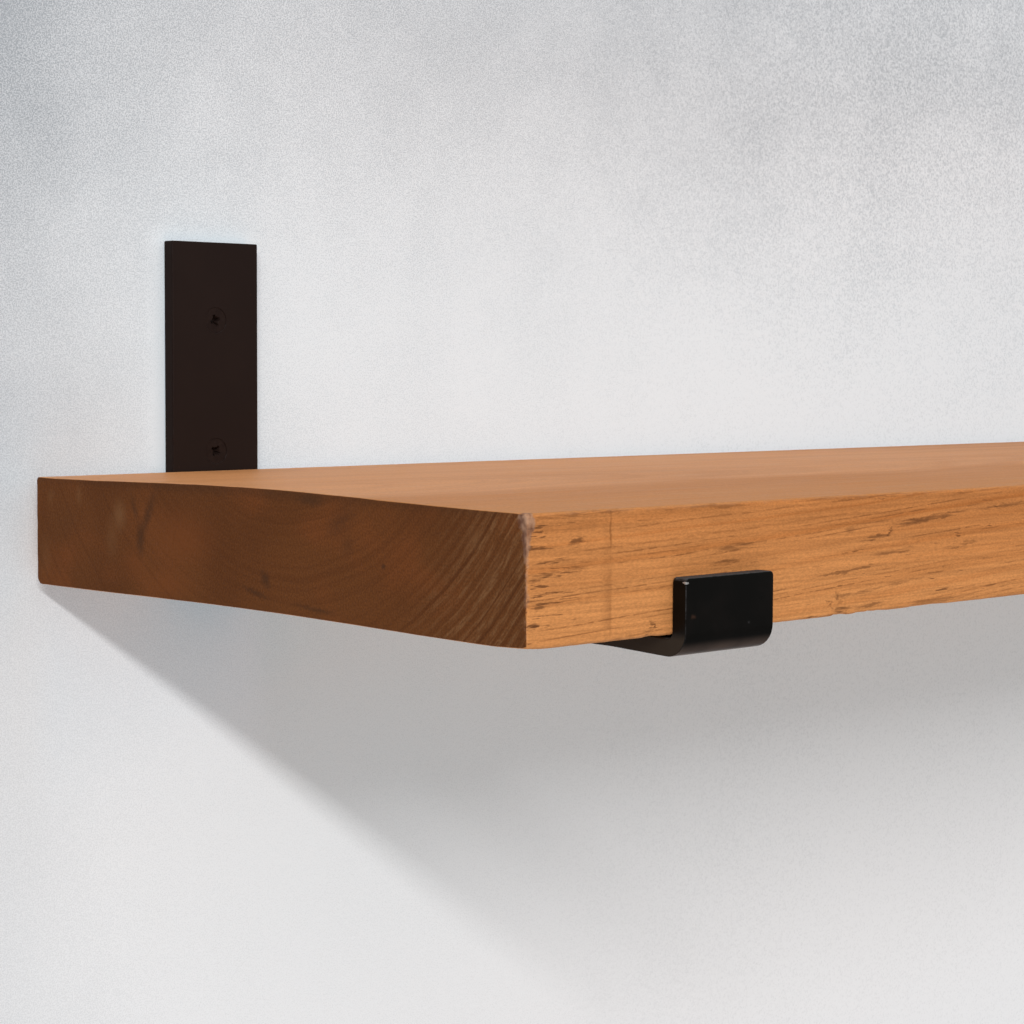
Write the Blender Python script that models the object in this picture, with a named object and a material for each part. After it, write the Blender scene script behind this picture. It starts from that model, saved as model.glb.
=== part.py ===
"""Wall shelf: a thick board lying in two bent flat-bar brackets.

Metres, +Z up. X runs along the wall, the wall's face is the plane y = 0 and the room lies at -Y.
The origin is on the wall, at the middle of the board's length, level with the board's upper edges.
Each bracket is one flat bar with an upstand on the wall, an arm under the board and a lip in front.
"""

import math

import bmesh
import bpy

# Board, slightly cupped: its faces rise between its long edges
BOARD_LENGTH = 0.900
BOARD_DEPTH = 0.260
BOARD_THICKNESS = 0.039
BOARD_TOP_CUP = 0.0018
BOARD_UNDERSIDE_CUP = 0.0011
BOARD_UPPER_ROUND = 0.0012
BOARD_LOWER_BACK_ROUND = 0.003
BOARD_LOWER_FRONT_ROUND = 0.0013

# Flat bar of the brackets with its paint; the arm dips a little before the front bend
BAR_WIDTH = 0.040
BAR_THICKNESS = 0.0055
BAR_CORNER_ROUND = 0.0015
FRONT_BEND_RADIUS = 0.0022
ARM_DIP = 0.00095
ARM_DIP_LENGTH = 0.026
UPSTAND_RISE = 0.088
LIP_RISE = 0.0175
BRACKET_INSET = 0.060

# Wall screws: the head overhangs the thread all round, and the thread stands proud of the shank
WALL_SCREW_DIAMETER = 0.005
WALL_SCREW_LENGTH = 0.060
WALL_SCREW_SHANK_LENGTH = 0.022
WALL_SCREW_HEAD_OVERHANG = 0.0024
UPPER_WALL_SCREW_DROP = 0.030
LOWER_WALL_SCREW_RISE = 0.0075

# Board screws, up through the arm
BOARD_SCREW_DIAMETER = 0.004
BOARD_SCREW_LENGTH = 0.030
BOARD_SCREW_SHANK_LENGTH = 0.008
BOARD_SCREW_HEAD_OVERHANG = 0.0019
BOARD_SCREW_EDGE_DISTANCE = 0.050

# Details that both kinds of screw share
HEAD_RIM_HEIGHT = 0.0004
HEAD_SINK = 0.0002
THREAD_DEPTH = 0.0006
POINT_LENGTH = 0.006
RECESS_SPAN = 0.0050
RECESS_WIDTH = 0.0012
RECESS_DEPTH = 0.0022
RECESS_FLOOR_SHARE = 0.5
RECESS_FIRST_TURN = math.radians(20)
RECESS_TURN_STEP = math.radians(35)

# Wall plugs: a collar, barbed legs parted by a slot, and two fins
PLUG_LENGTH = 0.050
PLUG_WALL = 0.0012
PLUG_SETBACK = 0.003
PLUG_COLLAR_LENGTH = 0.008
PLUG_NOSE_LENGTH = 0.004
PLUG_BARB_DEPTH = 0.0005
PLUG_BARB_COUNT = 6
PLUG_SLOT_WIDTH = 0.0014
PLUG_FIN_HEIGHT = 0.0008
PLUG_FIN_WIDTH = 0.0010
PLUG_FIN_LENGTH = 0.014

# Clearances
SEAT_GAP = 0.0003
SCREW_GAP = 0.0003
PILOT_END_GAP = 0.001

# Fineness of the round forms, and working margins of the cutters
SCREW_SIDES = 24
PLUG_SIDES = 16
BEND_STEPS = 8
EDGE_STEPS = 3
CUP_STEPS = 15
CUT_MARGIN = 0.001
MERGE_DISTANCE = 1e-6
SHARP_ANGLE = math.radians(35)
ROUND_PROFILE = 0.5

# Places that follow from the sizes above
BOARD_BACK = -(BAR_THICKNESS + SEAT_GAP)
BOARD_FRONT = BOARD_BACK - BOARD_DEPTH
BOARD_UNDERSIDE = -BOARD_THICKNESS
ARM_TOP = BOARD_UNDERSIDE - SEAT_GAP
ARM_UNDERSIDE = ARM_TOP - BAR_THICKNESS
LIP_INSIDE = BOARD_FRONT - SEAT_GAP
LIP_FRONT = LIP_INSIDE - BAR_THICKNESS
LIP_TOP = BOARD_UNDERSIDE + LIP_RISE
ARM_DIP_START = BOARD_FRONT + ARM_DIP_LENGTH
BACK_BEND_RADIUS = BOARD_LOWER_BACK_ROUND + SEAT_GAP
BRACKET_OFFSET = BOARD_LENGTH / 2 - BRACKET_INSET - BAR_WIDTH / 2
WALL_SCREW_HEIGHTS = {
    "upper": UPSTAND_RISE - UPPER_WALL_SCREW_DROP,
    "lower": LOWER_WALL_SCREW_RISE,
}
BOARD_SCREW_PLACES = {
    "front": BOARD_FRONT + BOARD_SCREW_EDGE_DISTANCE,
    "back": BOARD_BACK - BOARD_SCREW_EDGE_DISTANCE,
}

# Turns that carry a screw's own +Z, its head side, to the room or to the floor
HEAD_TO_ROOM = (math.pi / 2, 0.0, 0.0)
HEAD_TO_FLOOR = (math.pi, 0.0, 0.0)


def clear_scene():
    """Remove every object that is already in the scene."""
    for obj in list(bpy.data.objects):
        bpy.data.objects.remove(obj, do_unlink=True)


def make_material(name, colour, roughness, metallic):
    """A Principled material with one colour."""
    material = bpy.data.materials.new(name)
    material.use_nodes = True
    shader = material.node_tree.nodes["Principled BSDF"]
    shader.inputs["Base Color"].default_value = (*colour, 1.0)
    shader.inputs["Roughness"].default_value = roughness
    shader.inputs["Metallic"].default_value = metallic
    return material


def add_object(name, bm, parent, material=None):
    """Turn a bmesh into a smooth-shaded object under its parent, and free the bmesh."""
    bmesh.ops.remove_doubles(bm, verts=bm.verts[:], dist=MERGE_DISTANCE)
    bmesh.ops.recalc_face_normals(bm, faces=bm.faces[:])
    mesh = bpy.data.meshes.new(name)
    bm.to_mesh(mesh)
    bm.free()
    mesh.shade_smooth()
    mesh.set_sharp_from_angle(angle=SHARP_ANGLE)
    if material:
        mesh.materials.append(material)
    obj = bpy.data.objects.new(name, mesh)
    obj.parent = parent
    bpy.context.scene.collection.objects.link(obj)
    return obj


def add_empty(name, parent=None, location=(0.0, 0.0, 0.0)):
    """A frame that pieces are placed in."""
    empty = bpy.data.objects.new(name, None)
    empty.parent = parent
    empty.location = location
    bpy.context.scene.collection.objects.link(empty)
    return empty


def as_cutter(obj):
    """Mark an object as a working shape that is no piece of the shelf."""
    obj.hide_render = True
    obj.display_type = "WIRE"
    return obj


def combine(obj, other, operation):
    """Add a Boolean modifier to a piece."""
    modifier = obj.modifiers.new(f"{operation.lower()} {other.name}", "BOOLEAN")
    modifier.operation = operation
    modifier.solver = "EXACT"
    modifier.object = other


def arc(centre, radius, start, end, steps):
    """Points (y, z) on a circle, from one angle in degrees to another with both ends."""
    points = []
    for step in range(steps + 1):
        angle = math.radians(start + (end - start) * step / steps)
        points.append((centre[0] + radius * math.cos(angle), centre[1] + radius * math.sin(angle)))
    return points


def extruded(outline, length):
    """A bmesh prism along X, centred on x = 0, from the (y, z) points of its section."""
    bm = bmesh.new()
    face = bm.faces.new([bm.verts.new((-length / 2, y, z)) for y, z in outline])
    moved = bmesh.ops.extrude_face_region(bm, geom=[face])["geom"]
    verts = [item for item in moved if isinstance(item, bmesh.types.BMVert)]
    bmesh.ops.translate(bm, verts=verts, vec=(length, 0.0, 0.0))
    return bm


def turned(profile, sides):
    """A bmesh solid of revolution about Z from (radius, z) points that start and end on the axis."""
    bm = bmesh.new()
    verts = [bm.verts.new((radius, 0.0, z)) for radius, z in profile]
    edges = [bm.edges.new(pair) for pair in zip(verts, verts[1:])]
    bmesh.ops.spin(
        bm,
        geom=verts + edges,
        cent=(0.0, 0.0, 0.0),
        axis=(0.0, 0.0, 1.0),
        angle=math.tau,
        steps=sides,
        use_merge=True,
    )
    return bm


def block(size, centre):
    """A bmesh box."""
    bm = bmesh.new()
    bmesh.ops.create_cube(bm, size=1.0)
    bmesh.ops.scale(bm, verts=bm.verts[:], vec=size)
    bmesh.ops.translate(bm, verts=bm.verts[:], vec=centre)
    return bm


def cupped(start, end, level, cup):
    """Points (y, z) between the ends of a cupped face, which is level at both ends and highest half-way."""
    points = []
    for step in range(1, CUP_STEPS):
        share = step / CUP_STEPS
        points.append((start + (end - start) * share, level + cup * math.sin(math.pi * share) ** 2))
    return points


def board_outline():
    """The board's cupped section: a small round on three edges, a larger one at the lower back."""
    upper, back, front = BOARD_UPPER_ROUND, BOARD_LOWER_BACK_ROUND, BOARD_LOWER_FRONT_ROUND
    return (
        arc((BOARD_BACK - upper, -upper), upper, 0, 90, EDGE_STEPS)
        + cupped(BOARD_BACK - upper, BOARD_FRONT + upper, 0.0, BOARD_TOP_CUP)
        + arc((BOARD_FRONT + upper, -upper), upper, 90, 180, EDGE_STEPS)
        + arc((BOARD_FRONT + front, BOARD_UNDERSIDE + front), front, 180, 270, EDGE_STEPS)
        + cupped(BOARD_FRONT + front, BOARD_BACK - back, BOARD_UNDERSIDE, BOARD_UNDERSIDE_CUP)
        + arc((BOARD_BACK - back, BOARD_UNDERSIDE + back), back, 270, 360, BEND_STEPS)
    )


def bracket_outline():
    """The bent bar seen from its side: down the wall, along under the board and up to the lip."""
    back, front = BACK_BEND_RADIUS, FRONT_BEND_RADIUS
    back_bend = (-BAR_THICKNESS - back, ARM_TOP + back)
    front_bend = (LIP_INSIDE + front, ARM_TOP - ARM_DIP + front)
    return (
        [(0.0, UPSTAND_RISE)]
        + arc(back_bend, back + BAR_THICKNESS, 0, -90, BEND_STEPS)
        + [(ARM_DIP_START, ARM_UNDERSIDE)]
        + arc(front_bend, front + BAR_THICKNESS, -90, -180, BEND_STEPS)
        + [(LIP_FRONT, LIP_TOP), (LIP_INSIDE, LIP_TOP)]
        + arc(front_bend, front, -180, -90, BEND_STEPS)
        + [(ARM_DIP_START, ARM_TOP)]
        + arc(back_bend, back, -90, 0, BEND_STEPS)
        + [(-BAR_THICKNESS, UPSTAND_RISE)]
    )


def screw_profile(diameter, length, shank_length, overhang):
    """A countersunk wood screw: flat head, cone, plain shank, thread envelope and point."""
    thread = diameter / 2
    shank = thread - THREAD_DEPTH
    head = thread + overhang
    cone_foot = HEAD_RIM_HEIGHT + head - shank
    return [
        (0.0, 0.0),
        (head, 0.0),
        (head, -HEAD_RIM_HEIGHT),
        (shank, -cone_foot),
        (shank, -shank_length),
        (thread, -shank_length - THREAD_DEPTH),
        (thread, -length + POINT_LENGTH),
        (0.0, -length),
    ]


def screw_hole_profile(diameter, overhang, depth):
    """The countersunk hole that a screw seats in, one gap larger than the screw all round."""
    hole = diameter / 2 + SCREW_GAP
    rim = diameter / 2 + overhang + SCREW_GAP
    cone_shift = SCREW_GAP * (math.sqrt(2.0) - 1.0)
    rim_foot = HEAD_RIM_HEIGHT + cone_shift
    return [
        (0.0, HEAD_SINK + CUT_MARGIN),
        (rim, HEAD_SINK + CUT_MARGIN),
        (rim, -rim_foot),
        (hole, -rim_foot - overhang),
        (hole, -rim_foot - overhang - depth),
        (0.0, -rim_foot - overhang - depth),
    ]


def pilot_hole_profile(diameter, length):
    """The hole in the board that takes a board screw's shank and thread."""
    radius = diameter / 2 + SCREW_GAP
    return [
        (0.0, 0.0),
        (radius, 0.0),
        (radius, -length - PILOT_END_GAP),
        (0.0, -length - PILOT_END_GAP),
    ]


def recess_shape():
    """A tapered cross that is cut into a screw's head."""
    span, width = RECESS_SPAN / 2, RECESS_WIDTH / 2
    quarter = [(span, -width), (span, width), (width, width)]
    bm = bmesh.new()
    rings = []
    for share, z in ((1.0, CUT_MARGIN), (1.0, 0.0), (RECESS_FLOOR_SHARE, -RECESS_DEPTH)):
        ring = []
        for turn in range(4):
            cos, sin = round(math.cos(turn * math.pi / 2)), round(math.sin(turn * math.pi / 2))
            for x, y in quarter:
                ring.append(bm.verts.new((share * (x * cos - y * sin), share * (x * sin + y * cos), z)))
        rings.append(ring)
    for upper, lower in zip(rings, rings[1:]):
        for i in range(len(upper)):
            j = (i + 1) % len(upper)
            bm.faces.new((upper[i], upper[j], lower[j], lower[i]))
    bm.faces.new(rings[0])
    bm.faces.new(rings[-1])
    return bm


def plug_profile(radius):
    """A plug without its bore: collar, a row of barbs and a tapered nose."""
    core = radius - PLUG_BARB_DEPTH
    pitch = (PLUG_LENGTH - PLUG_COLLAR_LENGTH - PLUG_NOSE_LENGTH) / PLUG_BARB_COUNT
    profile = [(0.0, 0.0), (radius, 0.0), (radius, -PLUG_COLLAR_LENGTH)]
    for barb in range(PLUG_BARB_COUNT):
        top = -PLUG_COLLAR_LENGTH - barb * pitch
        profile += [(core, top - PLUG_BARB_DEPTH), (radius, top - pitch)]
    profile += [(core, -PLUG_LENGTH), (0.0, -PLUG_LENGTH)]
    return profile


def make_screw(name, profile, parent, location, rotation, turn, material):
    """A screw with its cross recess, turned about its own axis as it was driven home."""
    screw = add_object(name, turned(profile, SCREW_SIDES), parent, material)
    screw.location = location
    screw.rotation_euler = rotation
    recess = as_cutter(add_object(f"{name}_recess", recess_shape(), screw))
    recess.rotation_euler = (0.0, 0.0, turn)
    combine(screw, recess, "DIFFERENCE")
    return screw


def make_plug(name, parent, location, material):
    """A wall plug around a wall screw's thread."""
    bore = WALL_SCREW_DIAMETER / 2 + SCREW_GAP
    radius = bore + PLUG_WALL
    plug = add_object(name, turned(plug_profile(radius), PLUG_SIDES), parent, material)
    plug.location = location
    plug.rotation_euler = HEAD_TO_ROOM

    fin_span = 2 * (radius + PLUG_FIN_HEIGHT)
    fins = block(
        (fin_span, PLUG_FIN_WIDTH, PLUG_FIN_LENGTH),
        (0.0, 0.0, -PLUG_COLLAR_LENGTH / 2 - PLUG_FIN_LENGTH / 2),
    )
    bore_profile = [
        (0.0, CUT_MARGIN),
        (bore, CUT_MARGIN),
        (bore, -PLUG_LENGTH - CUT_MARGIN),
        (0.0, -PLUG_LENGTH - CUT_MARGIN),
    ]
    slot_length = PLUG_LENGTH - PLUG_COLLAR_LENGTH + CUT_MARGIN
    slot = block(
        (PLUG_SLOT_WIDTH, fin_span, slot_length),
        (0.0, 0.0, -PLUG_COLLAR_LENGTH - slot_length / 2),
    )
    combine(plug, as_cutter(add_object(f"{name}_fins", fins, plug)), "UNION")
    combine(plug, as_cutter(add_object(f"{name}_bore", turned(bore_profile, PLUG_SIDES), plug)), "DIFFERENCE")
    combine(plug, as_cutter(add_object(f"{name}_slot", slot, plug)), "DIFFERENCE")
    return plug


def make_bracket(name, parent, material):
    """A bent bar with rounded corners at the top of its upstand and of its lip."""
    bm = extruded(bracket_outline(), BAR_WIDTH)
    tops = (UPSTAND_RISE, LIP_TOP)
    corners = [
        edge
        for edge in bm.edges
        if edge.verts[0].co.x == edge.verts[1].co.x
        and all(min(abs(vert.co.z - top) for top in tops) < MERGE_DISTANCE for vert in edge.verts)
    ]
    bmesh.ops.bevel(
        bm,
        geom=corners,
        offset=BAR_CORNER_ROUND,
        offset_type="OFFSET",
        segments=EDGE_STEPS,
        profile=ROUND_PROFILE,
        affect="EDGES",
    )
    return add_object(name, bm, parent, material)


def drill(piece, name, profile, parent, location, rotation):
    """Cut a turned hole into a piece."""
    cutter = as_cutter(add_object(name, turned(profile, SCREW_SIDES), parent))
    cutter.location = location
    cutter.rotation_euler = rotation
    combine(piece, cutter, "DIFFERENCE")


def make_bracket_set(side, offset, shelf, board, materials):
    """One bracket with its wall screws and plugs, and the screws that hold the board to its arm."""
    frame = add_empty(f"{side}_bracket_frame", shelf, (offset, 0.0, 0.0))
    bracket = make_bracket(f"{side}_bracket", frame, materials["bar"])

    wall_screw = screw_profile(
        WALL_SCREW_DIAMETER, WALL_SCREW_LENGTH, WALL_SCREW_SHANK_LENGTH, WALL_SCREW_HEAD_OVERHANG
    )
    wall_hole = screw_hole_profile(WALL_SCREW_DIAMETER, WALL_SCREW_HEAD_OVERHANG, BAR_THICKNESS)
    for index, (place, height) in enumerate(WALL_SCREW_HEIGHTS.items()):
        name = f"{side}_{place}_wall"
        head = (0.0, -BAR_THICKNESS + HEAD_SINK, height)
        turn = RECESS_FIRST_TURN + index * RECESS_TURN_STEP
        make_screw(f"{name}_screw", wall_screw, frame, head, HEAD_TO_ROOM, turn, materials["wall_screw"])
        make_plug(f"{name}_plug", frame, (0.0, PLUG_SETBACK, height), materials["plug"])
        drill(bracket, f"{name}_hole", wall_hole, frame, head, HEAD_TO_ROOM)

    board_screw = screw_profile(
        BOARD_SCREW_DIAMETER, BOARD_SCREW_LENGTH, BOARD_SCREW_SHANK_LENGTH, BOARD_SCREW_HEAD_OVERHANG
    )
    arm_hole = screw_hole_profile(BOARD_SCREW_DIAMETER, BOARD_SCREW_HEAD_OVERHANG, BAR_THICKNESS)
    pilot_hole = pilot_hole_profile(BOARD_SCREW_DIAMETER, BOARD_SCREW_LENGTH)
    for index, (place, depth) in enumerate(BOARD_SCREW_PLACES.items()):
        name = f"{side}_{place}_board"
        head = (0.0, depth, ARM_UNDERSIDE + HEAD_SINK)
        turn = RECESS_FIRST_TURN - index * RECESS_TURN_STEP
        make_screw(f"{name}_screw", board_screw, frame, head, HEAD_TO_FLOOR, turn, materials["board_screw"])
        drill(bracket, f"{name}_arm_hole", arm_hole, frame, head, HEAD_TO_FLOOR)
        drill(board, f"{name}_pilot_hole", pilot_hole, frame, head, HEAD_TO_FLOOR)


def main():
    """Build the shelf."""
    clear_scene()
    materials = {
        "board": make_material("stained softwood", (0.42, 0.19, 0.065), 0.45, 0.0),
        "bar": make_material("black painted steel", (0.012, 0.011, 0.010), 0.38, 0.0),
        "wall_screw": make_material("blackened screw steel", (0.020, 0.018, 0.017), 0.42, 0.6),
        "board_screw": make_material("zinc plated steel", (0.55, 0.54, 0.50), 0.35, 1.0),
        "plug": make_material("grey nylon", (0.36, 0.36, 0.35), 0.55, 0.0),
    }
    shelf = add_empty("shelf")
    board = add_object("shelf_board", extruded(board_outline(), BOARD_LENGTH), shelf, materials["board"])
    for side, direction in (("left", -1.0), ("right", 1.0)):
        make_bracket_set(side, direction * BRACKET_OFFSET, shelf, board, materials)


main()
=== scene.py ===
"""Looks of a wall shelf: a stained board, two bent bar brackets, their screws and wall plugs.

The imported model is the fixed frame. Every piece is built in that frame, in metres, with +Z up. X runs along
the wall, the wall's face is the plane y = 0 and the room lies at -Y.
"""

import logging
import math
from collections.abc import Iterable, Sequence
from dataclasses import dataclass
from enum import Enum
from functools import reduce

import bmesh
import bpy
import numpy as np
from mathutils import Euler, Matrix, Vector


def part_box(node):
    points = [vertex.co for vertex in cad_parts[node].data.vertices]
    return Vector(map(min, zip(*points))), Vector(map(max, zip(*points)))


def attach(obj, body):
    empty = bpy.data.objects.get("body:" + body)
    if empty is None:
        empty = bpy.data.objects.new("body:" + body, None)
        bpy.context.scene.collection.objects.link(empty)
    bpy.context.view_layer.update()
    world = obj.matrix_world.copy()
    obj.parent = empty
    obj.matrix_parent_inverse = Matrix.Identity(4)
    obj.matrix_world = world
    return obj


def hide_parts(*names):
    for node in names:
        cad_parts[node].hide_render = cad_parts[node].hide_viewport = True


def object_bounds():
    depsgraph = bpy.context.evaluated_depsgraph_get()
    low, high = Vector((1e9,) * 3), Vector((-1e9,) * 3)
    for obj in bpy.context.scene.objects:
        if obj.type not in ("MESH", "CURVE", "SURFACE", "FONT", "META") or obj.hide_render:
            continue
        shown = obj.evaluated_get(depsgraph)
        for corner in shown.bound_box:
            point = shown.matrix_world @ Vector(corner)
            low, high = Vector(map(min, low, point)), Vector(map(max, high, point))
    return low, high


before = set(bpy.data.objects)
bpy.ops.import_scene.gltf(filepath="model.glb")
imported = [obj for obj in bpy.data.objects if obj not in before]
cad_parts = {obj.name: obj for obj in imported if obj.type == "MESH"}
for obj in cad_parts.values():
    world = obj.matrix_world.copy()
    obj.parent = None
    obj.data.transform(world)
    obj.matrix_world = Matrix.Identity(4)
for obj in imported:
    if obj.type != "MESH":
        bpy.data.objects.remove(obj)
cad_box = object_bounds()

Colour = tuple[float, float, float]
Point = tuple[float, float, float]
Socket = bpy.types.NodeSocket
Feed = Socket | float | int | Sequence[float]
Grain = dict[str, Socket]

BODY = "root"
MERGE_DISTANCE = 1e-6
SAME_PLACE = 1e-9
TINY = 1e-12

log = logging.getLogger("wall_shelf")


class Side(Enum):
    """The two brackets, named as seen from the room."""

    LEFT = "left"
    RIGHT = "right"


class WallPlace(Enum):
    """The two screws that hold a bracket to the wall."""

    UPPER = "upper"
    LOWER = "lower"


class BoardPlace(Enum):
    """The two screws that hold the board to a bracket's arm."""

    FRONT = "front"
    BACK = "back"


class Face(Enum):
    """Faces of the board that carry marks of their own."""

    FRONT = "front"
    LEFT_END = "left end"


class Tone(Enum):
    """What a mark in the wood does to its colour."""

    DARK = "dark"
    PALE = "pale"
    RED = "red"


class NodeBench:
    """A node tree with short calls that add and join nodes."""

    def __init__(self, tree: bpy.types.NodeTree) -> None:
        """Keep the tree that the calls work on."""
        self.tree = tree

    def feed(self, socket: Socket, source: Feed) -> None:
        """Join a socket to an input, or set the input's value.

        Args:
            socket: The input.
            source: Another node's output, or a plain value.
        """
        if isinstance(source, Socket):
            self.tree.links.new(source, socket)
        else:
            socket.default_value = source

    def add(
        self, kind: str, feeds: dict[str | int, Feed] | None = None, **settings: object
    ) -> bpy.types.Node:
        """Add one node.

        Args:
            kind: Blender's name of the node type.
            feeds: What goes into its inputs, by name or number.
            settings: The node's own properties.

        Returns:
            The new node.
        """
        node = self.tree.nodes.new(kind)
        for name, value in settings.items():
            setattr(node, name, value)
        for key, source in (feeds or {}).items():
            self.feed(node.inputs[key], source)
        return node

    def math(self, operation: str, *feeds: Feed) -> Socket:
        """Work out one number.

        Args:
            operation: The Math node's operation.
            feeds: Its operands in order.

        Returns:
            The result's socket.
        """
        return self.add("ShaderNodeMath", dict(enumerate(feeds)), operation=operation).outputs[0]

    def times(self, *feeds: Feed) -> Socket:
        """The product of two or more numbers."""
        return reduce(lambda product, feed: self.math("MULTIPLY", product, feed), feeds)

    def plus(self, *feeds: Feed) -> Socket:
        """The sum of two or more numbers."""
        return reduce(lambda total, feed: self.math("ADD", total, feed), feeds)

    def minus(self, value: Feed, other: Feed) -> Socket:
        """One number less another."""
        return self.math("SUBTRACT", value, other)

    def vector(self, operation: str, *feeds: Feed) -> Socket:
        """Work out one vector, or a vector's length.

        Args:
            operation: The Vector Math node's operation.
            feeds: Its operands in order; SCALE takes a vector and a number.

        Returns:
            The result's socket.
        """
        node = self.add("ShaderNodeVectorMath", operation=operation)
        numbers = (0, 3) if operation == "SCALE" else range(len(feeds))
        for number, source in zip(numbers, feeds):
            self.feed(node.inputs[number], source)
        return node.outputs["Value" if operation == "LENGTH" else "Vector"]

    def combine(self, x: Feed = 0.0, y: Feed = 0.0, z: Feed = 0.0) -> Socket:
        """A vector from three numbers."""
        return self.add("ShaderNodeCombineXYZ", {0: x, 1: y, 2: z}).outputs[0]

    def separate(self, vector: Feed) -> tuple[Socket, ...]:
        """The three numbers of a vector."""
        return tuple(self.add("ShaderNodeSeparateXYZ", {0: vector}).outputs)

    def ease(self, value: Feed, start: float, end: float, low: Feed = 0.0, high: Feed = 1.0) -> Socket:
        """Change smoothly from one number to another while a value passes from start to end.

        Args:
            value: The value that is followed.
            start: Where the change begins.
            end: Where it is complete.
            low: The number before the change.
            high: The number after it.

        Returns:
            The result's socket.
        """
        feeds = {"Value": value, "From Min": start, "From Max": end, "To Min": low, "To Max": high}
        return self.add("ShaderNodeMapRange", feeds, interpolation_type="SMOOTHSTEP").outputs[0]


class FinishBench(NodeBench):
    """The node tree of one material, around a Principled shader."""

    def __init__(self, name: str) -> None:
        """Start an empty material.

        Args:
            name: The material's name.
        """
        self.material = bpy.data.materials.new(name)
        self.material.use_nodes = True
        super().__init__(self.material.node_tree)
        self.tree.nodes.clear()
        self.shader = self.add("ShaderNodeBsdfPrincipled")
        self.output = self.add("ShaderNodeOutputMaterial", {"Surface": self.shader.outputs[0]})
        coordinates = self.add("ShaderNodeTexCoord")
        self.place = coordinates.outputs["Object"]
        self.normal = coordinates.outputs["Normal"]
        self.axes = self.separate(self.place)

    def noise(
        self,
        stretch: Sequence[float],
        detail: float = 2.0,
        roughness: float = 0.5,
        place: Feed | None = None,
    ) -> tuple[Socket, Socket]:
        """Cloudy variation in space.

        Args:
            stretch: Changes per metre along X, Y and Z.
            detail: How many finer layers are added.
            roughness: How strong the finer layers are.
            place: Where it is read; the piece's own coordinates if left out.

        Returns:
            The sockets of its grey value and of its colour.
        """
        scaled = self.vector("MULTIPLY", self.place if place is None else place, tuple(stretch))
        feeds = {"Vector": scaled, "Scale": 1.0, "Detail": detail, "Roughness": roughness}
        node = self.add("ShaderNodeTexNoise", feeds)
        return node.outputs[0], node.outputs[1]

    def jitter(self, stretch: Sequence[float], detail: float = 2.0, roughness: float = 0.5) -> Socket:
        """A cloudy shift in space, of up to half a unit each way."""
        return self.vector("SUBTRACT", self.noise(stretch, detail, roughness)[1], (0.5, 0.5, 0.5))

    def chance(self, number: Feed) -> Socket:
        """A random value from 0 to 1 that belongs to a number."""
        return self.add("ShaderNodeTexWhiteNoise", {"W": number}, noise_dimensions="1D").outputs[0]

    def ramp(self, value: Feed, stops: Iterable[tuple[float, float]]) -> Socket:
        """Bend a value along a line of stops.

        Args:
            value: The value from 0 to 1.
            stops: Pairs of a position and the grey there.

        Returns:
            The result's socket.
        """
        node = self.add("ShaderNodeValToRGB", {0: value})
        elements = node.color_ramp.elements
        for index, (position, grey) in enumerate(stops):
            stop = elements[index] if index < len(elements) else elements.new(position)
            stop.position = position
            stop.color = (grey, grey, grey, 1.0)
        return node.outputs[0]

    def blend(self, share: Feed, base: Feed, other: Feed, mode: str = "MIX") -> Socket:
        """Mix two colours.

        Args:
            share: How much of the other colour there is.
            base: The first colour.
            other: The second colour.
            mode: How they are mixed.

        Returns:
            The mixed colour's socket.
        """
        opaque = [(*c, 1.0) if isinstance(c, tuple) else c for c in (base, other)]
        feeds = {0: share, 6: opaque[0], 7: opaque[1]}
        return self.add("ShaderNodeMix", feeds, data_type="RGBA", blend_type=mode).outputs[2]

    def shade(self, colour: Feed, grey: Feed) -> Socket:
        """A colour made darker or paler by a grey value, of which 1 leaves it as it is."""
        return self.blend(1.0, colour, self.combine(grey, grey, grey), "MULTIPLY")

    def mark(
        self, place: Feed, centre: Point, half: Point, turn: Point = (0.0, 0.0, 0.0), core: float = 0.4
    ) -> Socket:
        """A soft oval spot in space.

        Args:
            place: Where it is read.
            centre: The spot's middle.
            half: Half its size along its own axes.
            turn: Its turn about X, Y and Z.
            core: The share of its size that has full strength.

        Returns:
            The socket of its strength, 1 in the middle and 0 outside.
        """
        feeds = {"Vector": place, "Location": centre, "Rotation": turn, "Scale": half}
        local = self.add("ShaderNodeMapping", feeds, vector_type="TEXTURE").outputs[0]
        return self.ease(self.vector("LENGTH", local), 1.0, core)

    def relief(self, height: Feed, depth: float, strength: Feed = 1.0) -> None:
        """Give the surface a fine relief.

        Args:
            height: The relief's height from 0 to 1.
            depth: The full height in metres.
            strength: How much of it shows.
        """
        feeds = {"Height": height, "Distance": depth, "Strength": strength}
        self.feed(self.shader.inputs["Normal"], self.add("ShaderNodeBump", feeds).outputs[0])

    def set(self, **feeds: Feed) -> None:
        """Feed the shader's inputs.

        Args:
            feeds: What goes into each, with underscores for the spaces in its name.
        """
        for name, source in feeds.items():
            socket = self.shader.inputs[name.replace("_", " ")]
            plain_colour = socket.type == "RGBA" and isinstance(source, tuple)
            self.feed(socket, (*source, 1.0) if plain_colour else source)


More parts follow.
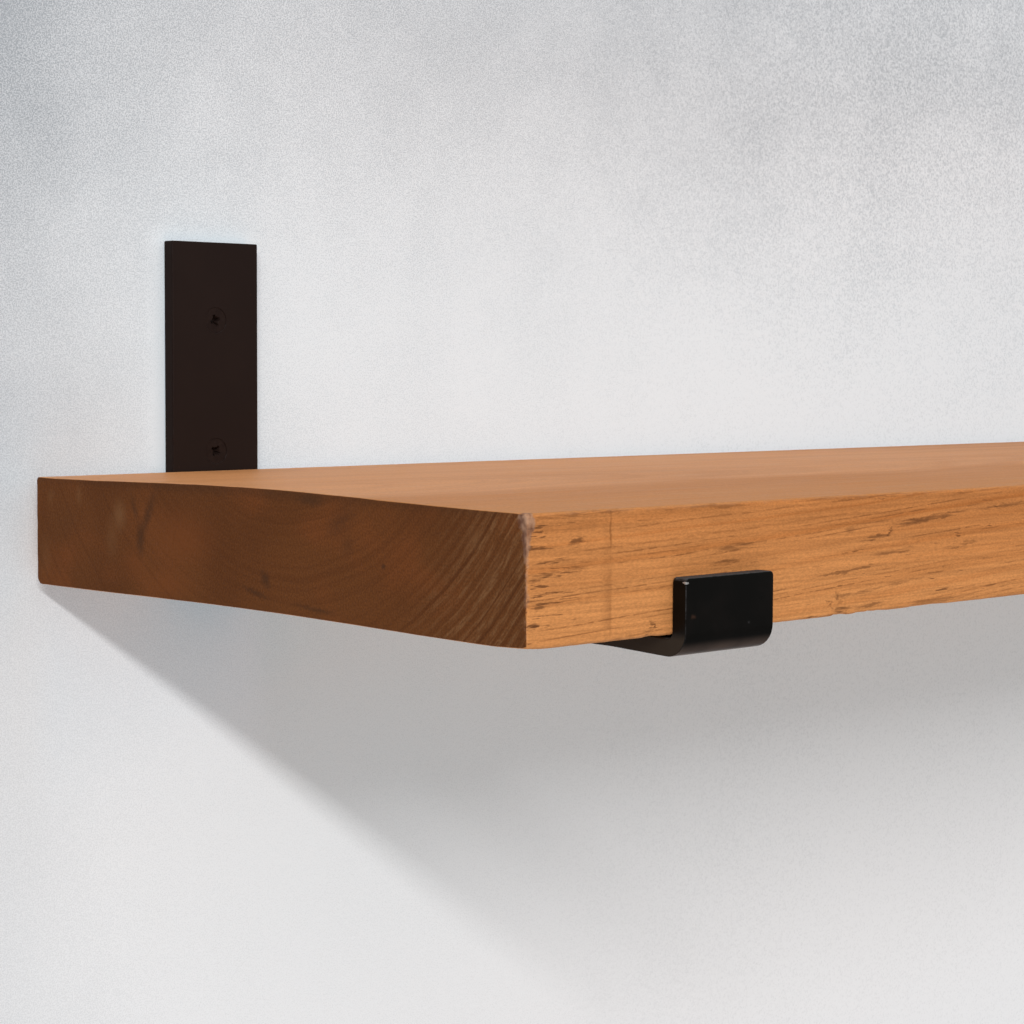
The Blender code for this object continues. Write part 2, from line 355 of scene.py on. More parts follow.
class RuleBench(NodeBench):
    """A geometry node tree that makes one kind of piece from named sizes."""

    def __init__(self, name: str) -> None:
        """Start an empty tree.

        Args:
            name: The tree's name.
        """
        super().__init__(bpy.data.node_groups.new(name, "GeometryNodeTree"))
        self.tree.interface.new_socket("Mesh", in_out="OUTPUT", socket_type="NodeSocketGeometry")
        self.entry = self.add("NodeGroupInput")
        self.exit = self.add("NodeGroupOutput")
        self.identifiers: dict[str, str] = {}
        self.made: dict[str, bpy.types.Mesh] = {}

    def size(self, name: str, kind: str = "Float") -> Socket:
        """Add a named input.

        Args:
            name: The input's name.
            kind: Float, Int, Vector or Material.

        Returns:
            The socket that carries it.
        """
        item = self.tree.interface.new_socket(name, in_out="INPUT", socket_type=f"NodeSocket{kind}")
        self.identifiers[name] = item.identifier
        return next(socket for socket in self.entry.outputs if socket.identifier == item.identifier)

    def close(self, mesh: Socket) -> None:
        """End the tree with plain geometry in the piece's material.

        Args:
            mesh: The tree's finished form.
        """
        real = self.add("GeometryNodeRealizeInstances", {"Geometry": mesh}).outputs[0]
        dressed = self.add(
            "GeometryNodeSetMaterial", {"Geometry": real, "Material": self.size("Material", "Material")}
        )
        self.feed(self.exit.inputs[0], dressed.outputs[0])

    def lathe(self, sides: Feed, rows: Feed) -> tuple[Socket, ...]:
        """A sheet of points to be wrapped round the Z axis.

        Args:
            sides: How many sides the round form has.
            rows: How many rings of points it has.

        Returns:
            The sheet, each point's angle about the axis and the number of its row.
        """
        across = self.plus(sides, 1)
        feeds = {"Size X": 1.0, "Size Y": 1.0, "Vertices X": across, "Vertices Y": rows}
        sheet = self.add("GeometryNodeMeshGrid", feeds).outputs["Mesh"]
        x, y, _ = self.separate(self.add("GeometryNodeInputPosition").outputs[0])
        angle = self.times(self.plus(x, 0.5), -math.tau)
        row = self.math("ROUND", self.times(self.plus(y, 0.5), self.minus(rows, 1)))
        return sheet, angle, row

    def wrap(self, sheet: Feed, angle: Feed, radius: Feed, depth: Feed) -> Socket:
        """Wrap a lathe's sheet into a closed round form.

        Args:
            sheet: The sheet of points.
            angle: Each point's angle about the axis.
            radius: Each point's distance from the axis.
            depth: Each point's distance below the plane z = 0.

        Returns:
            The round form.
        """
        x = self.times(radius, self.math("COSINE", angle))
        y = self.times(radius, self.math("SINE", angle))
        place = self.combine(x, y, self.times(depth, -1.0))
        moved = self.add("GeometryNodeSetPosition", {"Geometry": sheet, "Position": place}).outputs[0]
        return self.add(
            "GeometryNodeMergeByDistance", {"Geometry": moved, "Distance": MERGE_DISTANCE}
        ).outputs[0]

    def boolean(self, operation: str, body: Feed, tools: Sequence[Feed]) -> Socket:
        """Cut tools from a body, or add them to it.

        Args:
            operation: DIFFERENCE or UNION.
            body: The form that is worked on.
            tools: The forms that are cut or added.

        Returns:
            The worked form.
        """
        node = self.add("GeometryNodeMeshBoolean", operation=operation, solver="EXACT")
        inputs = node.inputs
        if operation == "DIFFERENCE":
            self.feed(inputs["Mesh 1"], body)
        else:
            tools = [body, *tools]
        for tool in tools:
            self.feed(inputs["Mesh 2"], tool)
        return node.outputs[0]

    def pick(self, kind: str, values: Sequence[Feed]) -> Socket:
        """Give each point the value that belongs to its number.

        Args:
            kind: FLOAT or VECTOR.
            values: The values in the points' order.

        Returns:
            The picked value's socket.
        """
        node = self.add("GeometryNodeIndexSwitch", data_type=kind)
        for _ in range(len(values) - len(node.index_switch_items)):
            node.index_switch_items.new()
        self.feed(node.inputs[0], self.add("GeometryNodeInputIndex").outputs[0])
        for number, value in enumerate(values):
            self.feed(node.inputs[number + 1], value)
        return node.outputs[0]

    def move(
        self, mesh: Feed, shift: Feed = (0, 0, 0), turn: Feed = (0, 0, 0), scale: Feed = (1, 1, 1)
    ) -> Feed:
        """Place a form."""
        feeds = {"Geometry": mesh, "Translation": shift, "Rotation": turn, "Scale": scale}
        return self.add("GeometryNodeTransform", feeds).outputs[0]

    def make(self, name: str, sizes: dict[str, object]) -> bpy.types.Mesh:
        """Run the tree once for each set of sizes and keep its result as a plain mesh.

        Args:
            name: The mesh's name.
            sizes: Values of the named inputs.

        Returns:
            The plain mesh.
        """
        key = repr(sorted(sizes.items()))
        if key in self.made:
            return self.made[key].copy()
        carrier = bpy.data.objects.new(f"{name}_carrier", bpy.data.meshes.new(f"{name}_carrier"))
        modifier = carrier.modifiers.new("rule", "NODES")
        modifier.node_group = self.tree
        for size_name, value in sizes.items():
            modifier[self.identifiers[size_name]] = value
        bpy.context.scene.collection.objects.link(carrier)
        mesh = evaluated_mesh(carrier, name)
        carrier.modifiers.remove(modifier)
        bpy.data.objects.remove(carrier, do_unlink=True)
        self.made[key] = mesh
        return mesh.copy()


def evaluated_mesh(obj: bpy.types.Object, name: str) -> bpy.types.Mesh:
    """Turn an object with its modifiers into a plain mesh.

    Args:
        obj: The object.
        name: The new mesh's name.

    Returns:
        The plain mesh.
    """
    bpy.context.view_layer.update()
    evaluated = obj.evaluated_get(bpy.context.evaluated_depsgraph_get())
    mesh = bpy.data.meshes.new_from_object(evaluated)
    mesh.name = name
    return mesh


def tidy_mesh(mesh: bpy.types.Mesh, sharp: float) -> bpy.types.Mesh:
    """Merge doubles, turn the faces outwards and shade the round forms smooth.

    Args:
        mesh: The mesh, changed in place.
        sharp: The angle in degrees past which an edge stays sharp.

    Returns:
        The same mesh.
    """
    bm = bmesh.new()
    bm.from_mesh(mesh)
    bmesh.ops.remove_doubles(bm, verts=bm.verts[:], dist=MERGE_DISTANCE)
    bmesh.ops.recalc_face_normals(bm, faces=bm.faces[:])
    bm.to_mesh(mesh)
    bm.free()
    mesh.shade_smooth()
    mesh.set_sharp_from_angle(angle=math.radians(sharp))
    return mesh


def place_piece(
    name: str, mesh: bpy.types.Mesh, node: str, finish: bpy.types.Material
) -> bpy.types.Object:
    """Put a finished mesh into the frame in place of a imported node.

    Args:
        name: The piece's name.
        mesh: Its mesh, already where it belongs.
        node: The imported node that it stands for.
        finish: Its material.

    Returns:
        The piece.
    """
    mesh.materials.clear()
    mesh.materials.append(finish)
    piece = bpy.data.objects.new(name, mesh)
    bpy.context.scene.collection.objects.link(piece)
    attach(piece, BODY)
    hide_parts(node)
    log.info("%s: %d faces, stands for %s", name, len(mesh.polygons), node)
    return piece


@dataclass(frozen=True)
class Mark:
    """One mark in the wood, placed on a face of the board.

    Attributes:
        along: Distance from the board's left end on the front, or from its back edge on the end.
        drop: Distance below the board's upper edge.
        half_width: Half its size along the face.
        half_height: Half its size up the face.
        strength: How much of its tone shows.
        tilt: Its turn on the face in degrees, rising to the right.
        tone: What it does to the colour.
    """

    along: float
    drop: float
    half_width: float
    half_height: float
    strength: float
    tilt: float = 0.0
    tone: Tone = Tone.DARK


BOARD_MARKS = {
    Face.LEFT_END: (
        Mark(0.0197, 0.0157, 0.0190, 0.0110, 0.20),
        Mark(0.0911, 0.0169, 0.0280, 0.0150, 0.65, tone=Tone.RED),
        Mark(0.0640, 0.0271, 0.0130, 0.0080, 0.50, tone=Tone.RED),
        Mark(0.0839, 0.0325, 0.0220, 0.0080, 0.55, tone=Tone.RED),
        Mark(0.0668, 0.0188, 0.0040, 0.0092, 0.72),
        Mark(0.0715, 0.0100, 0.0125, 0.0036, 0.70, 62.0),
        Mark(0.0634, 0.0085, 0.0080, 0.0026, 0.48, -68.0),
        Mark(0.0540, 0.0110, 0.0062, 0.0080, 0.42, tone=Tone.PALE),
        Mark(0.0490, 0.0195, 0.0060, 0.0110, 0.20, tone=Tone.PALE),
        Mark(0.0281, 0.0055, 0.0030, 0.0050, 0.25, tone=Tone.PALE),
        Mark(0.0094, 0.0067, 0.0035, 0.0045, 0.20, tone=Tone.PALE),
        Mark(0.0055, 0.0280, 0.0060, 0.0120, 0.14, tone=Tone.PALE),
        Mark(0.1612, 0.0010, 0.0110, 0.0030, 0.60),
        Mark(0.1769, 0.0066, 0.0120, 0.0062, 0.45, 30.0),
        Mark(0.1802, 0.0140, 0.0050, 0.0050, 0.30),
        Mark(0.1380, 0.0274, 0.0034, 0.0050, 0.75, 35.0),
        Mark(0.1327, 0.0321, 0.0110, 0.0016, 0.70, -12.0),
        Mark(0.1642, 0.0351, 0.0160, 0.0014, 0.60, -4.0),
        Mark(0.1972, 0.0193, 0.0016, 0.0013, 0.90),
        Mark(0.2380, 0.0090, 0.0070, 0.0040, 0.22, 48.0, tone=Tone.PALE),
        Mark(0.2450, 0.0200, 0.0120, 0.0024, 0.22, 55.0, tone=Tone.PALE),
    ),
    Face.FRONT: (
        Mark(0.0240, 0.0010, 0.0260, 0.0009, 0.55, 0.5),
        Mark(0.0740, 0.0011, 0.0300, 0.0009, 0.46),
        Mark(0.1500, 0.0009, 0.0520, 0.0007, 0.36),
        Mark(0.0180, 0.0030, 0.0210, 0.0042, 0.20, 2.0),
        Mark(0.0200, 0.0087, 0.0052, 0.0010, 0.75, 5.0),
        Mark(0.0190, 0.0168, 0.0070, 0.0012, 0.55, 8.0),
        Mark(0.0060, 0.0182, 0.0070, 0.0014, 0.70, 9.0),
        Mark(0.0040, 0.0055, 0.0030, 0.0007, 0.80, 5.0),
        Mark(0.0045, 0.0098, 0.0030, 0.0006, 0.75, 5.0),
        Mark(0.0090, 0.0141, 0.0090, 0.0006, 0.70, 7.0),
        Mark(0.0085, 0.0232, 0.0080, 0.0006, 0.75, 6.0),
        Mark(0.0050, 0.0270, 0.0050, 0.0010, 0.70, 7.0),
        Mark(0.0030, 0.0322, 0.0030, 0.0007, 0.70, 7.0),
        Mark(0.0880, 0.0139, 0.0110, 0.0016, 0.62, 3.0),
        Mark(0.0838, 0.0186, 0.0085, 0.0012, 0.62, 5.0),
        Mark(0.0508, 0.0366, 0.0032, 0.0010, 0.75, 45.0),
        Mark(0.0524, 0.0346, 0.0015, 0.0016, 0.45),
        Mark(0.1410, 0.0370, 0.0060, 0.0012, 0.70, 5.0),
        Mark(0.1560, 0.0364, 0.0110, 0.0008, 0.55, 4.0),
        Mark(0.1345, 0.0352, 0.0030, 0.0007, 0.60, -35.0),
        Mark(0.1250, 0.0383, 0.0035, 0.0006, 0.80, 3.0),
        Mark(0.1385, 0.0335, 0.0012, 0.0034, 0.50, 30.0),
        Mark(0.1590, 0.0142, 0.0120, 0.0009, 0.80, 5.0),
        Mark(0.1652, 0.0128, 0.0010, 0.0024, 0.75, -25.0),
        Mark(0.1900, 0.0090, 0.0230, 0.0013, 0.66, 4.5),
        Mark(0.1760, 0.0104, 0.0130, 0.0014, 0.45, 5.0),
        Mark(0.2300, 0.0068, 0.0200, 0.0009, 0.55, 3.0),
        Mark(0.1450, 0.0112, 0.0045, 0.0014, 0.42, 10.0),
        Mark(0.1680, 0.0196, 0.0160, 0.0010, 0.55, 4.0),
        Mark(0.2050, 0.0190, 0.0130, 0.0011, 0.50, 4.0),
        Mark(0.1450, 0.0245, 0.0260, 0.0007, 0.60, 4.0),
        Mark(0.1520, 0.0318, 0.0220, 0.0007, 0.50, 4.0),
        Mark(0.1800, 0.0290, 0.0260, 0.0011, 0.42, 5.0),
        Mark(0.1900, 0.0375, 0.0280, 0.0014, 0.45, 2.0),
    ),
}


@dataclass(frozen=True)
class WoodFinish:
    """Stained softwood, flat sawn with the heart of the log above it.

    Attributes:
        pith: Where the log's heart passes the left end, as Y and Z.
        pith_climb: How far the heart rises for each metre of length.
        ring_width: Spacing of the growth rings.
        streak_width: Spacing of the fine dark streaks that follow the rings.
        stain_line: Distance of the line across the front from the left end.
        mark_reach: How far a mark reaches into the wood.
    """

    pith: tuple[float, float] = (-0.150, 0.085)
    pith_climb: float = 0.060
    ring_width: float = 0.0036
    streak_width: float = 0.00115
    stain_line: float = 0.0338
    mark_reach: float = 0.004
    front_pale: Colour = (0.612, 0.252, 0.081)
    front_deep: Colour = (0.418, 0.136, 0.032)
    top_pale: Colour = (0.590, 0.265, 0.104)
    top_deep: Colour = (0.410, 0.160, 0.049)
    top_band: Colour = (0.474, 0.181, 0.0435)
    top_front: Colour = (0.505, 0.2025, 0.0537)
    # The ends' colours are darker than the stain alone would make them: they also hold painted shade.
    end_pale: Colour = (0.132, 0.043, 0.0100)
    end_deep: Colour = (0.082, 0.024, 0.0048)
    end_red: Colour = (0.160, 0.046, 0.0105)
    end_dark: Colour = (0.046, 0.019, 0.0075)
    streak: Colour = (0.200, 0.068, 0.019)
    fleck: Colour = (0.110, 0.038, 0.013)
    rubbed: Colour = (0.205, 0.098, 0.040)
    worn_edge: Colour = (0.450, 0.220, 0.105)
    pale_corner: Colour = (0.430, 0.255, 0.165)
    dark_corner: Colour = (0.110, 0.049, 0.034)

    def make(self, low: Vector, high: Vector) -> bpy.types.Material:
        """Build the material for a board.

        Args:
            low: The board's lowest corner.
            high: Its highest corner, without its cup.

        Returns:
            The material.
        """
        bench = FinishBench("stained_softwood")
        grain = self._grain(bench, low)
        normal = bench.separate(bench.normal)
        end = bench.ease(bench.math("ABSOLUTE", normal[0]), 0.50, 0.85)
        flat = bench.ease(normal[2], 0.45, 0.90)
        colour = self._long_grain(bench, grain, flat, low)
        colour = self._stain_line(bench, colour, bench.ease(normal[1], -0.5, -0.9), low)
        colour = bench.blend(end, colour, self._end_grain(bench, grain))
        colour = self._marks(bench, colour, low, high)
        edge, corner = self._edges(bench, low, high)
        colour = bench.blend(
            bench.times(edge, bench.ease(end, 0.0, 0.5, 0.28, 0.0)), colour, self.worn_edge
        )
        mottle = bench.ease(bench.noise((430.0, 430.0, 260.0))[0], 0.30, 0.72)
        corner_colour = bench.blend(mottle, self.dark_corner, self.pale_corner)
        colour = bench.blend(bench.times(corner, 0.75), colour, corner_colour)
        bench.set(Base_Color=colour)
        self._surface(bench, grain, flat, end)
        return bench.material

    def _grain(self, bench: FinishBench, low: Vector) -> Grain:
        """Lay the growth rings, streaks and fibres through the whole board.

        Args:
            bench: The material's bench.
            low: The board's lowest corner.

        Returns:
            Named sockets: late, streak, fleck, fibre, fuzz, blotch, radius, turn and ring.
        """
        x, y, z = bench.axes
        wander = bench.jitter((2.4, 9.0, 9.0))
        tremble = bench.jitter((13.0, 60.0, 60.0))
        shift = bench.vector(
            "ADD", bench.vector("SCALE", wander, 0.014), bench.vector("SCALE", tremble, 0.0018)
        )
        _, shift_y, shift_z = bench.separate(shift)
        from_left = bench.minus(x, low.x)
        across = bench.minus(bench.plus(y, shift_y), self.pith[0])
        climb = bench.math("MULTIPLY_ADD", from_left, self.pith_climb, self.pith[1])
        below = bench.minus(climb, bench.plus(z, shift_z))
        radius = bench.vector("LENGTH", bench.combine(across, below))
        turn = bench.math("ARCTAN2", across, below)

        unsteady = bench.add("ShaderNodeTexNoise", {"W": bench.times(radius, 95.0)}, noise_dimensions="1D")
        ring = bench.plus(bench.math("DIVIDE", radius, self.ring_width), unsteady.outputs[0])
        late = bench.ramp(
            bench.math("FRACT", ring),
            ((0.0, 0.30), (0.10, 0.05), (0.45, 0.12), (0.84, 0.92), (0.94, 1.0), (1.0, 0.34)),
        )
        late = bench.times(late, bench.ease(bench.chance(bench.math("FLOOR", ring)), 0.0, 1.0, 0.35, 1.0))

        line = bench.plus(bench.math("DIVIDE", radius, self.streak_width), bench.times(ring, 0.37))
        line_number = bench.math("FLOOR", line)
        line_shape = bench.ramp(
            bench.math("FRACT", line),
            ((0.0, 0.0), (0.26, 0.06), (0.44, 0.85), (0.56, 1.0), (0.68, 0.12), (1.0, 0.0)),
        )
        chosen = bench.ease(bench.chance(line_number), 0.26, 0.80)
        along = bench.combine(bench.times(x, 17.0), bench.times(line_number, 7.31), 0.0)
        broken_noise = bench.add(
            "ShaderNodeTexNoise", {"Vector": along, "Scale": 1.0, "Detail": 3.0, "Roughness": 0.62}
        )
        broken = bench.ease(broken_noise.outputs[0], 0.42, 0.60)
        grain_place = bench.vector("ADD", bench.place, shift)
        dash = bench.ease(
            bench.noise((230.0, 900.0, 900.0), 2.0, 0.6, grain_place)[0], 0.38, 0.58, 0.22, 1.0
        )
        streak = bench.times(line_shape, chosen, bench.times(broken, dash))

        fleck_noise = bench.noise((75.0, 780.0, 780.0), 3.0, 0.6, grain_place)[0]
        crowd = bench.ease(bench.noise((9.0, 26.0, 26.0), 1.0)[0], 0.42, 0.64, 0.1, 1.0)
        near_end = bench.ease(from_left, 0.034, 0.006)
        fleck_noise = bench.math("MULTIPLY_ADD", near_end, 0.065, fleck_noise)
        fleck = bench.times(bench.ease(fleck_noise, 0.645, 0.705), bench.math("MAXIMUM", crowd, near_end))
        return {
            "late": late,
            "streak": streak,
            "fleck": fleck,
            "fibre": bench.noise((14.0, 1100.0, 1100.0), 3.0, 0.6, grain_place)[0],
            "fuzz": bench.noise((850.0, 2100.0, 2100.0), 2.0, 0.6, grain_place)[0],
            "blotch": bench.noise((4.5, 14.0, 14.0), 3.0)[0],
            "radius": radius,
            "turn": turn,
            "ring": ring,
        }

    def _long_grain(self, bench: FinishBench, grain: Grain, flat: Feed, low: Vector) -> Socket:
        """Colour the front, back, top and underside.

        Args:
            bench: The material's bench.
            grain: The board's grain.
            flat: Where the face is the top, which was sanded.
            low: The board's lowest corner.

        Returns:
            The colour's socket.
        """
        x, y, z = bench.axes
        tone = bench.math(
            "MULTIPLY_ADD", grain["late"], 0.42, bench.ease(grain["blotch"], 0.3, 0.7, 0.0, 0.34)
        )
        tone = bench.plus(tone, bench.ease(z, low.z, 0.0, -0.32, 0.32))
        front = bench.blend(tone, self.front_pale, self.front_deep)
        # Broad paler and darker bands along the top: grain and painted sheen.
        wide = bench.ease(bench.noise((2.2, 42.0, 20.0), 1.0)[0], 0.34, 0.66, -0.14, 0.22)
        soft = bench.ease(grain["blotch"], 0.3, 0.7, 0.09, 0.37)
        drift = bench.ease(bench.noise((6.5, 16.0, 0.0), 3.0, 0.55)[0], 0.25, 0.75, -0.014, 0.014)
        inward = bench.minus(bench.plus(y, drift), low.y)
        paler = bench.times(
            bench.ease(inward, 0.078, 0.112),
            bench.ease(x, 0.22, -0.10, 0.19, -0.22),
            bench.ease(y, -0.02, -0.10, 0.6, 1.0),
        )
        paler = bench.plus(paler, bench.ease(y, -0.07, -0.01, 0.0, 0.07))
        soft = bench.plus(soft, wide, paler)
        top = bench.blend(soft, self.top_pale, self.top_deep)
        cloudy = bench.ease(grain["blotch"], 0.3, 0.7, 0.72, 1.0)
        band = bench.times(bench.ease(inward, 0.092, 0.062), cloudy)
        top = bench.blend(band, top, self.top_band)
        top = bench.blend(bench.ease(inward, 0.050, 0.026, 0.0, 0.9), top, self.top_front)
        top = bench.blend(bench.times(grain["late"], 0.34), top, self.top_deep)
        colour = bench.blend(flat, front, top)
        darkest, palest = bench.ease(flat, 0.0, 1.0, 0.84, 0.94), bench.ease(flat, 0.0, 1.0, 1.12, 1.05)
        fibre = bench.ease(grain["fibre"], 0.25, 0.75, darkest, palest)
        colour = bench.shade(colour, fibre)
        colour = bench.shade(colour, bench.ease(grain["fuzz"], 0.25, 0.75, 0.86, 1.12))
        rough_face = bench.ease(flat, 0.0, 1.0, 0.76, 0.17)
        colour = bench.blend(bench.times(grain["streak"], rough_face), colour, self.streak)
        return bench.blend(bench.times(grain["fleck"], rough_face), colour, self.fleck)

    def _end_grain(self, bench: FinishBench, grain: Grain) -> Socket:
        """Colour the sawn ends, darker than the long faces: partly stain that the end grain took up, partly
        painted shade.

        Args:
            bench: The material's bench.
            grain: The board's grain.

        Returns:
            The colour's socket.
        """
        _, y, z = bench.axes
        colour = bench.blend(
            bench.ease(grain["blotch"], 0.35, 0.65, 0.15, 0.75), self.end_pale, self.end_deep
        )
        red = bench.ease(bench.noise((5.0, 24.0, 34.0))[0], 0.5, 0.66)
        colour = bench.blend(bench.times(red, 0.6), colour, self.end_red)
        near_front = bench.ease(bench.math("MULTIPLY_ADD", z, 0.54, y), -0.222, -0.262)
        ring_line = bench.times(grain["late"], bench.ease(near_front, 0.0, 1.0, 0.42, 0.95))
        colour = bench.blend(ring_line, colour, self.end_deep)
        colour = bench.blend(bench.ease(z, -0.0030, 0.0012, 0.0, 0.40), colour, self.end_dark)
        around = bench.combine(
            bench.times(grain["radius"], 1100.0), bench.times(grain["turn"], 24.0), 0.0
        )
        scratch = bench.add(
            "ShaderNodeTexNoise", {"Vector": around, "Scale": 1.0, "Detail": 4.0, "Roughness": 0.7}
        )
        band = bench.ramp(
            bench.math("FRACT", grain["ring"]),
            ((0.0, 0.1), (0.22, 0.9), (0.48, 1.0), (0.72, 0.15), (1.0, 0.0)),
        )
        rubbed = bench.times(bench.ease(scratch.outputs[0], 0.36, 0.66), bench.times(band, near_front))
        colour = bench.blend(bench.times(rubbed, 0.66), colour, self.rubbed)
        pore = bench.ease(bench.noise((900.0, 1500.0, 1500.0))[0], 0.30, 0.70, 0.82, 1.14)
        return bench.shade(colour, pore)

    def _stain_line(self, bench: FinishBench, colour: Feed, front: Feed, low: Vector) -> Socket:
        """Add the line across the front where the stain ran in twice.

        Args:
            bench: The material's bench.
            colour: The colour so far.
            front: Where the face is the front.
            low: The board's lowest corner.

        Returns:
            The colour's socket.
        """
        x, _, z = bench.axes
        wobble = bench.noise((0.0, 60.0, 260.0), 4.0, 0.6)[0]
        place = bench.minus(x, low.x + self.stain_line)
        place = bench.plus(place, bench.times(bench.minus(wobble, 0.5), 0.0015))
        patchy = bench.ease(bench.noise((0.0, 40.0, 170.0), 3.0)[0], 0.42, 0.62)
        before = bench.times(
            bench.ease(place, -0.0046, -0.0004),
            bench.ease(place, 0.0012, 0.0),
            bench.ease(patchy, 0.0, 1.0, 0.04, 0.34),
            bench.ease(z, -0.010, -0.027, 0.35, 1.0),
        )
        core = bench.times(
            bench.ease(place, -0.0008, -0.0001),
            bench.ease(place, 0.0007, 0.0),
            bench.ease(patchy, 0.0, 1.0, 0.24, 0.62),
        )
        strong = bench.math(
            "MAXIMUM", bench.ease(z, -0.014, -0.008), bench.ease(z, -0.020, -0.030, 0.30, 0.70)
        )
        core = bench.times(core, strong)
        share = bench.math("MAXIMUM", before, core)
        return bench.blend(bench.times(share, front), colour, self.streak)

    def _marks(self, bench: FinishBench, colour: Feed, low: Vector, high: Vector) -> Socket:
        """Add the single marks that the board shows.

        Args:
            bench: The material's bench.
            colour: The colour so far.
            low: The board's lowest corner.
            high: Its highest corner.

        Returns:
            The colour's socket.
        """
        tones = {
            (Face.FRONT, Tone.DARK): self.fleck,
            (Face.LEFT_END, Tone.DARK): self.end_dark,
            (Face.LEFT_END, Tone.PALE): self.rubbed,
            (Face.LEFT_END, Tone.RED): self.end_red,
        }
        fray = bench.jitter((150.0, 520.0, 520.0), 3.0, 0.7)
        frayed = bench.vector("ADD", bench.place, bench.vector("MULTIPLY", fray, (0.010, 0.0030, 0.0030)))
        streaky = bench.ease(bench.noise((90.0, 1300.0, 1300.0), 2.0, 0.6)[0], 0.36, 0.58, 0.15, 1.0)
        for face, mark in [(face, mark) for face, marks in BOARD_MARKS.items() for mark in marks]:
            height, tilt = high.z - mark.drop, math.radians(-mark.tilt)
            if face is Face.FRONT:
                centre = (low.x + mark.along, low.y, height)
                half = (mark.half_width, self.mark_reach, mark.half_height)
                spot = bench.times(
                    bench.mark(frayed, centre, half, (0.0, tilt, 0.0)), mark.strength, streaky
                )
            else:
                centre = (low.x, high.y - mark.along, height)
                half = (self.mark_reach, mark.half_width, mark.half_height)
                oval = bench.mark(frayed, centre, half, (tilt, 0.0, 0.0), core=0.0)
                spot = bench.times(oval, mark.strength)
            colour = bench.blend(spot, colour, tones[face, mark.tone])
        return colour

    def _edges(self, bench: FinishBench, low: Vector, high: Vector) -> tuple[Socket, Socket]:
        """Find the rubbed edges, and the greyed corner at the front of the left end.

        Args:
            bench: The material's bench.
            low: The board's lowest corner.
            high: Its highest corner.

        Returns:
            The sockets of the edges' wear and of the corner's.
        """
        x, y, z = bench.axes
        inward = []
        for value, least, most in zip(bench.axes, low, high):
            inward.append(bench.math("MINIMUM", bench.minus(value, least), bench.minus(most, value)))
        nearer = bench.math("MINIMUM", inward[0], inward[1])
        farther = bench.math("MAXIMUM", inward[0], inward[1])
        distance = bench.math("MAXIMUM", nearer, bench.math("MINIMUM", farther, inward[2]))
        patchy = bench.noise((240.0, 240.0, 240.0), 3.0, 0.65)[0]
        ragged = bench.plus(distance, bench.times(bench.minus(patchy, 0.5), 0.0026))
        edge = bench.ease(ragged, 0.0011, 0.0001)

        to_corner = bench.vector(
            "LENGTH", bench.combine(bench.minus(x, low.x), bench.minus(y, low.y))
        )
        reach = bench.plus(
            bench.ease(z, -0.030, -0.009, 0.0, 0.0012), bench.ease(z, -0.009, -0.003, 0.0, 0.0019)
        )
        torn = bench.times(bench.minus(patchy, 0.5), 0.0050)
        corner = bench.ease(bench.minus(bench.plus(to_corner, torn), reach), 0.0006, -0.0008)
        return edge, corner

    def _surface(self, bench: FinishBench, grain: Grain, flat: Feed, end: Feed) -> None:
        """Set the wood's gloss and relief.

        Args:
            bench: The material's bench.
            grain: The board's grain.
            flat: Where the face is the top, which was sanded.
            end: Where the face is an end.
        """
        gloss = bench.ease(flat, 0.0, 1.0, 0.66, 0.48)
        gloss = bench.plus(gloss, bench.ease(grain["fibre"], 0.3, 0.7, -0.06, 0.08))
        bench.set(Roughness=gloss, Specular_IOR_Level=0.10)
        height = bench.math("MULTIPLY_ADD", grain["fibre"], 0.30, bench.times(grain["fuzz"], 0.30))
        height = bench.math("MULTIPLY_ADD", grain["late"], 0.22, height)
        height = bench.minus(height, bench.times(grain["streak"], 0.45))
        height = bench.minus(height, bench.times(grain["fleck"], 0.60))
        smooth = bench.math("MAXIMUM", bench.times(flat, 0.75), bench.times(end, 0.35))
        bench.relief(height, 0.00014, bench.minus(0.80, smooth))


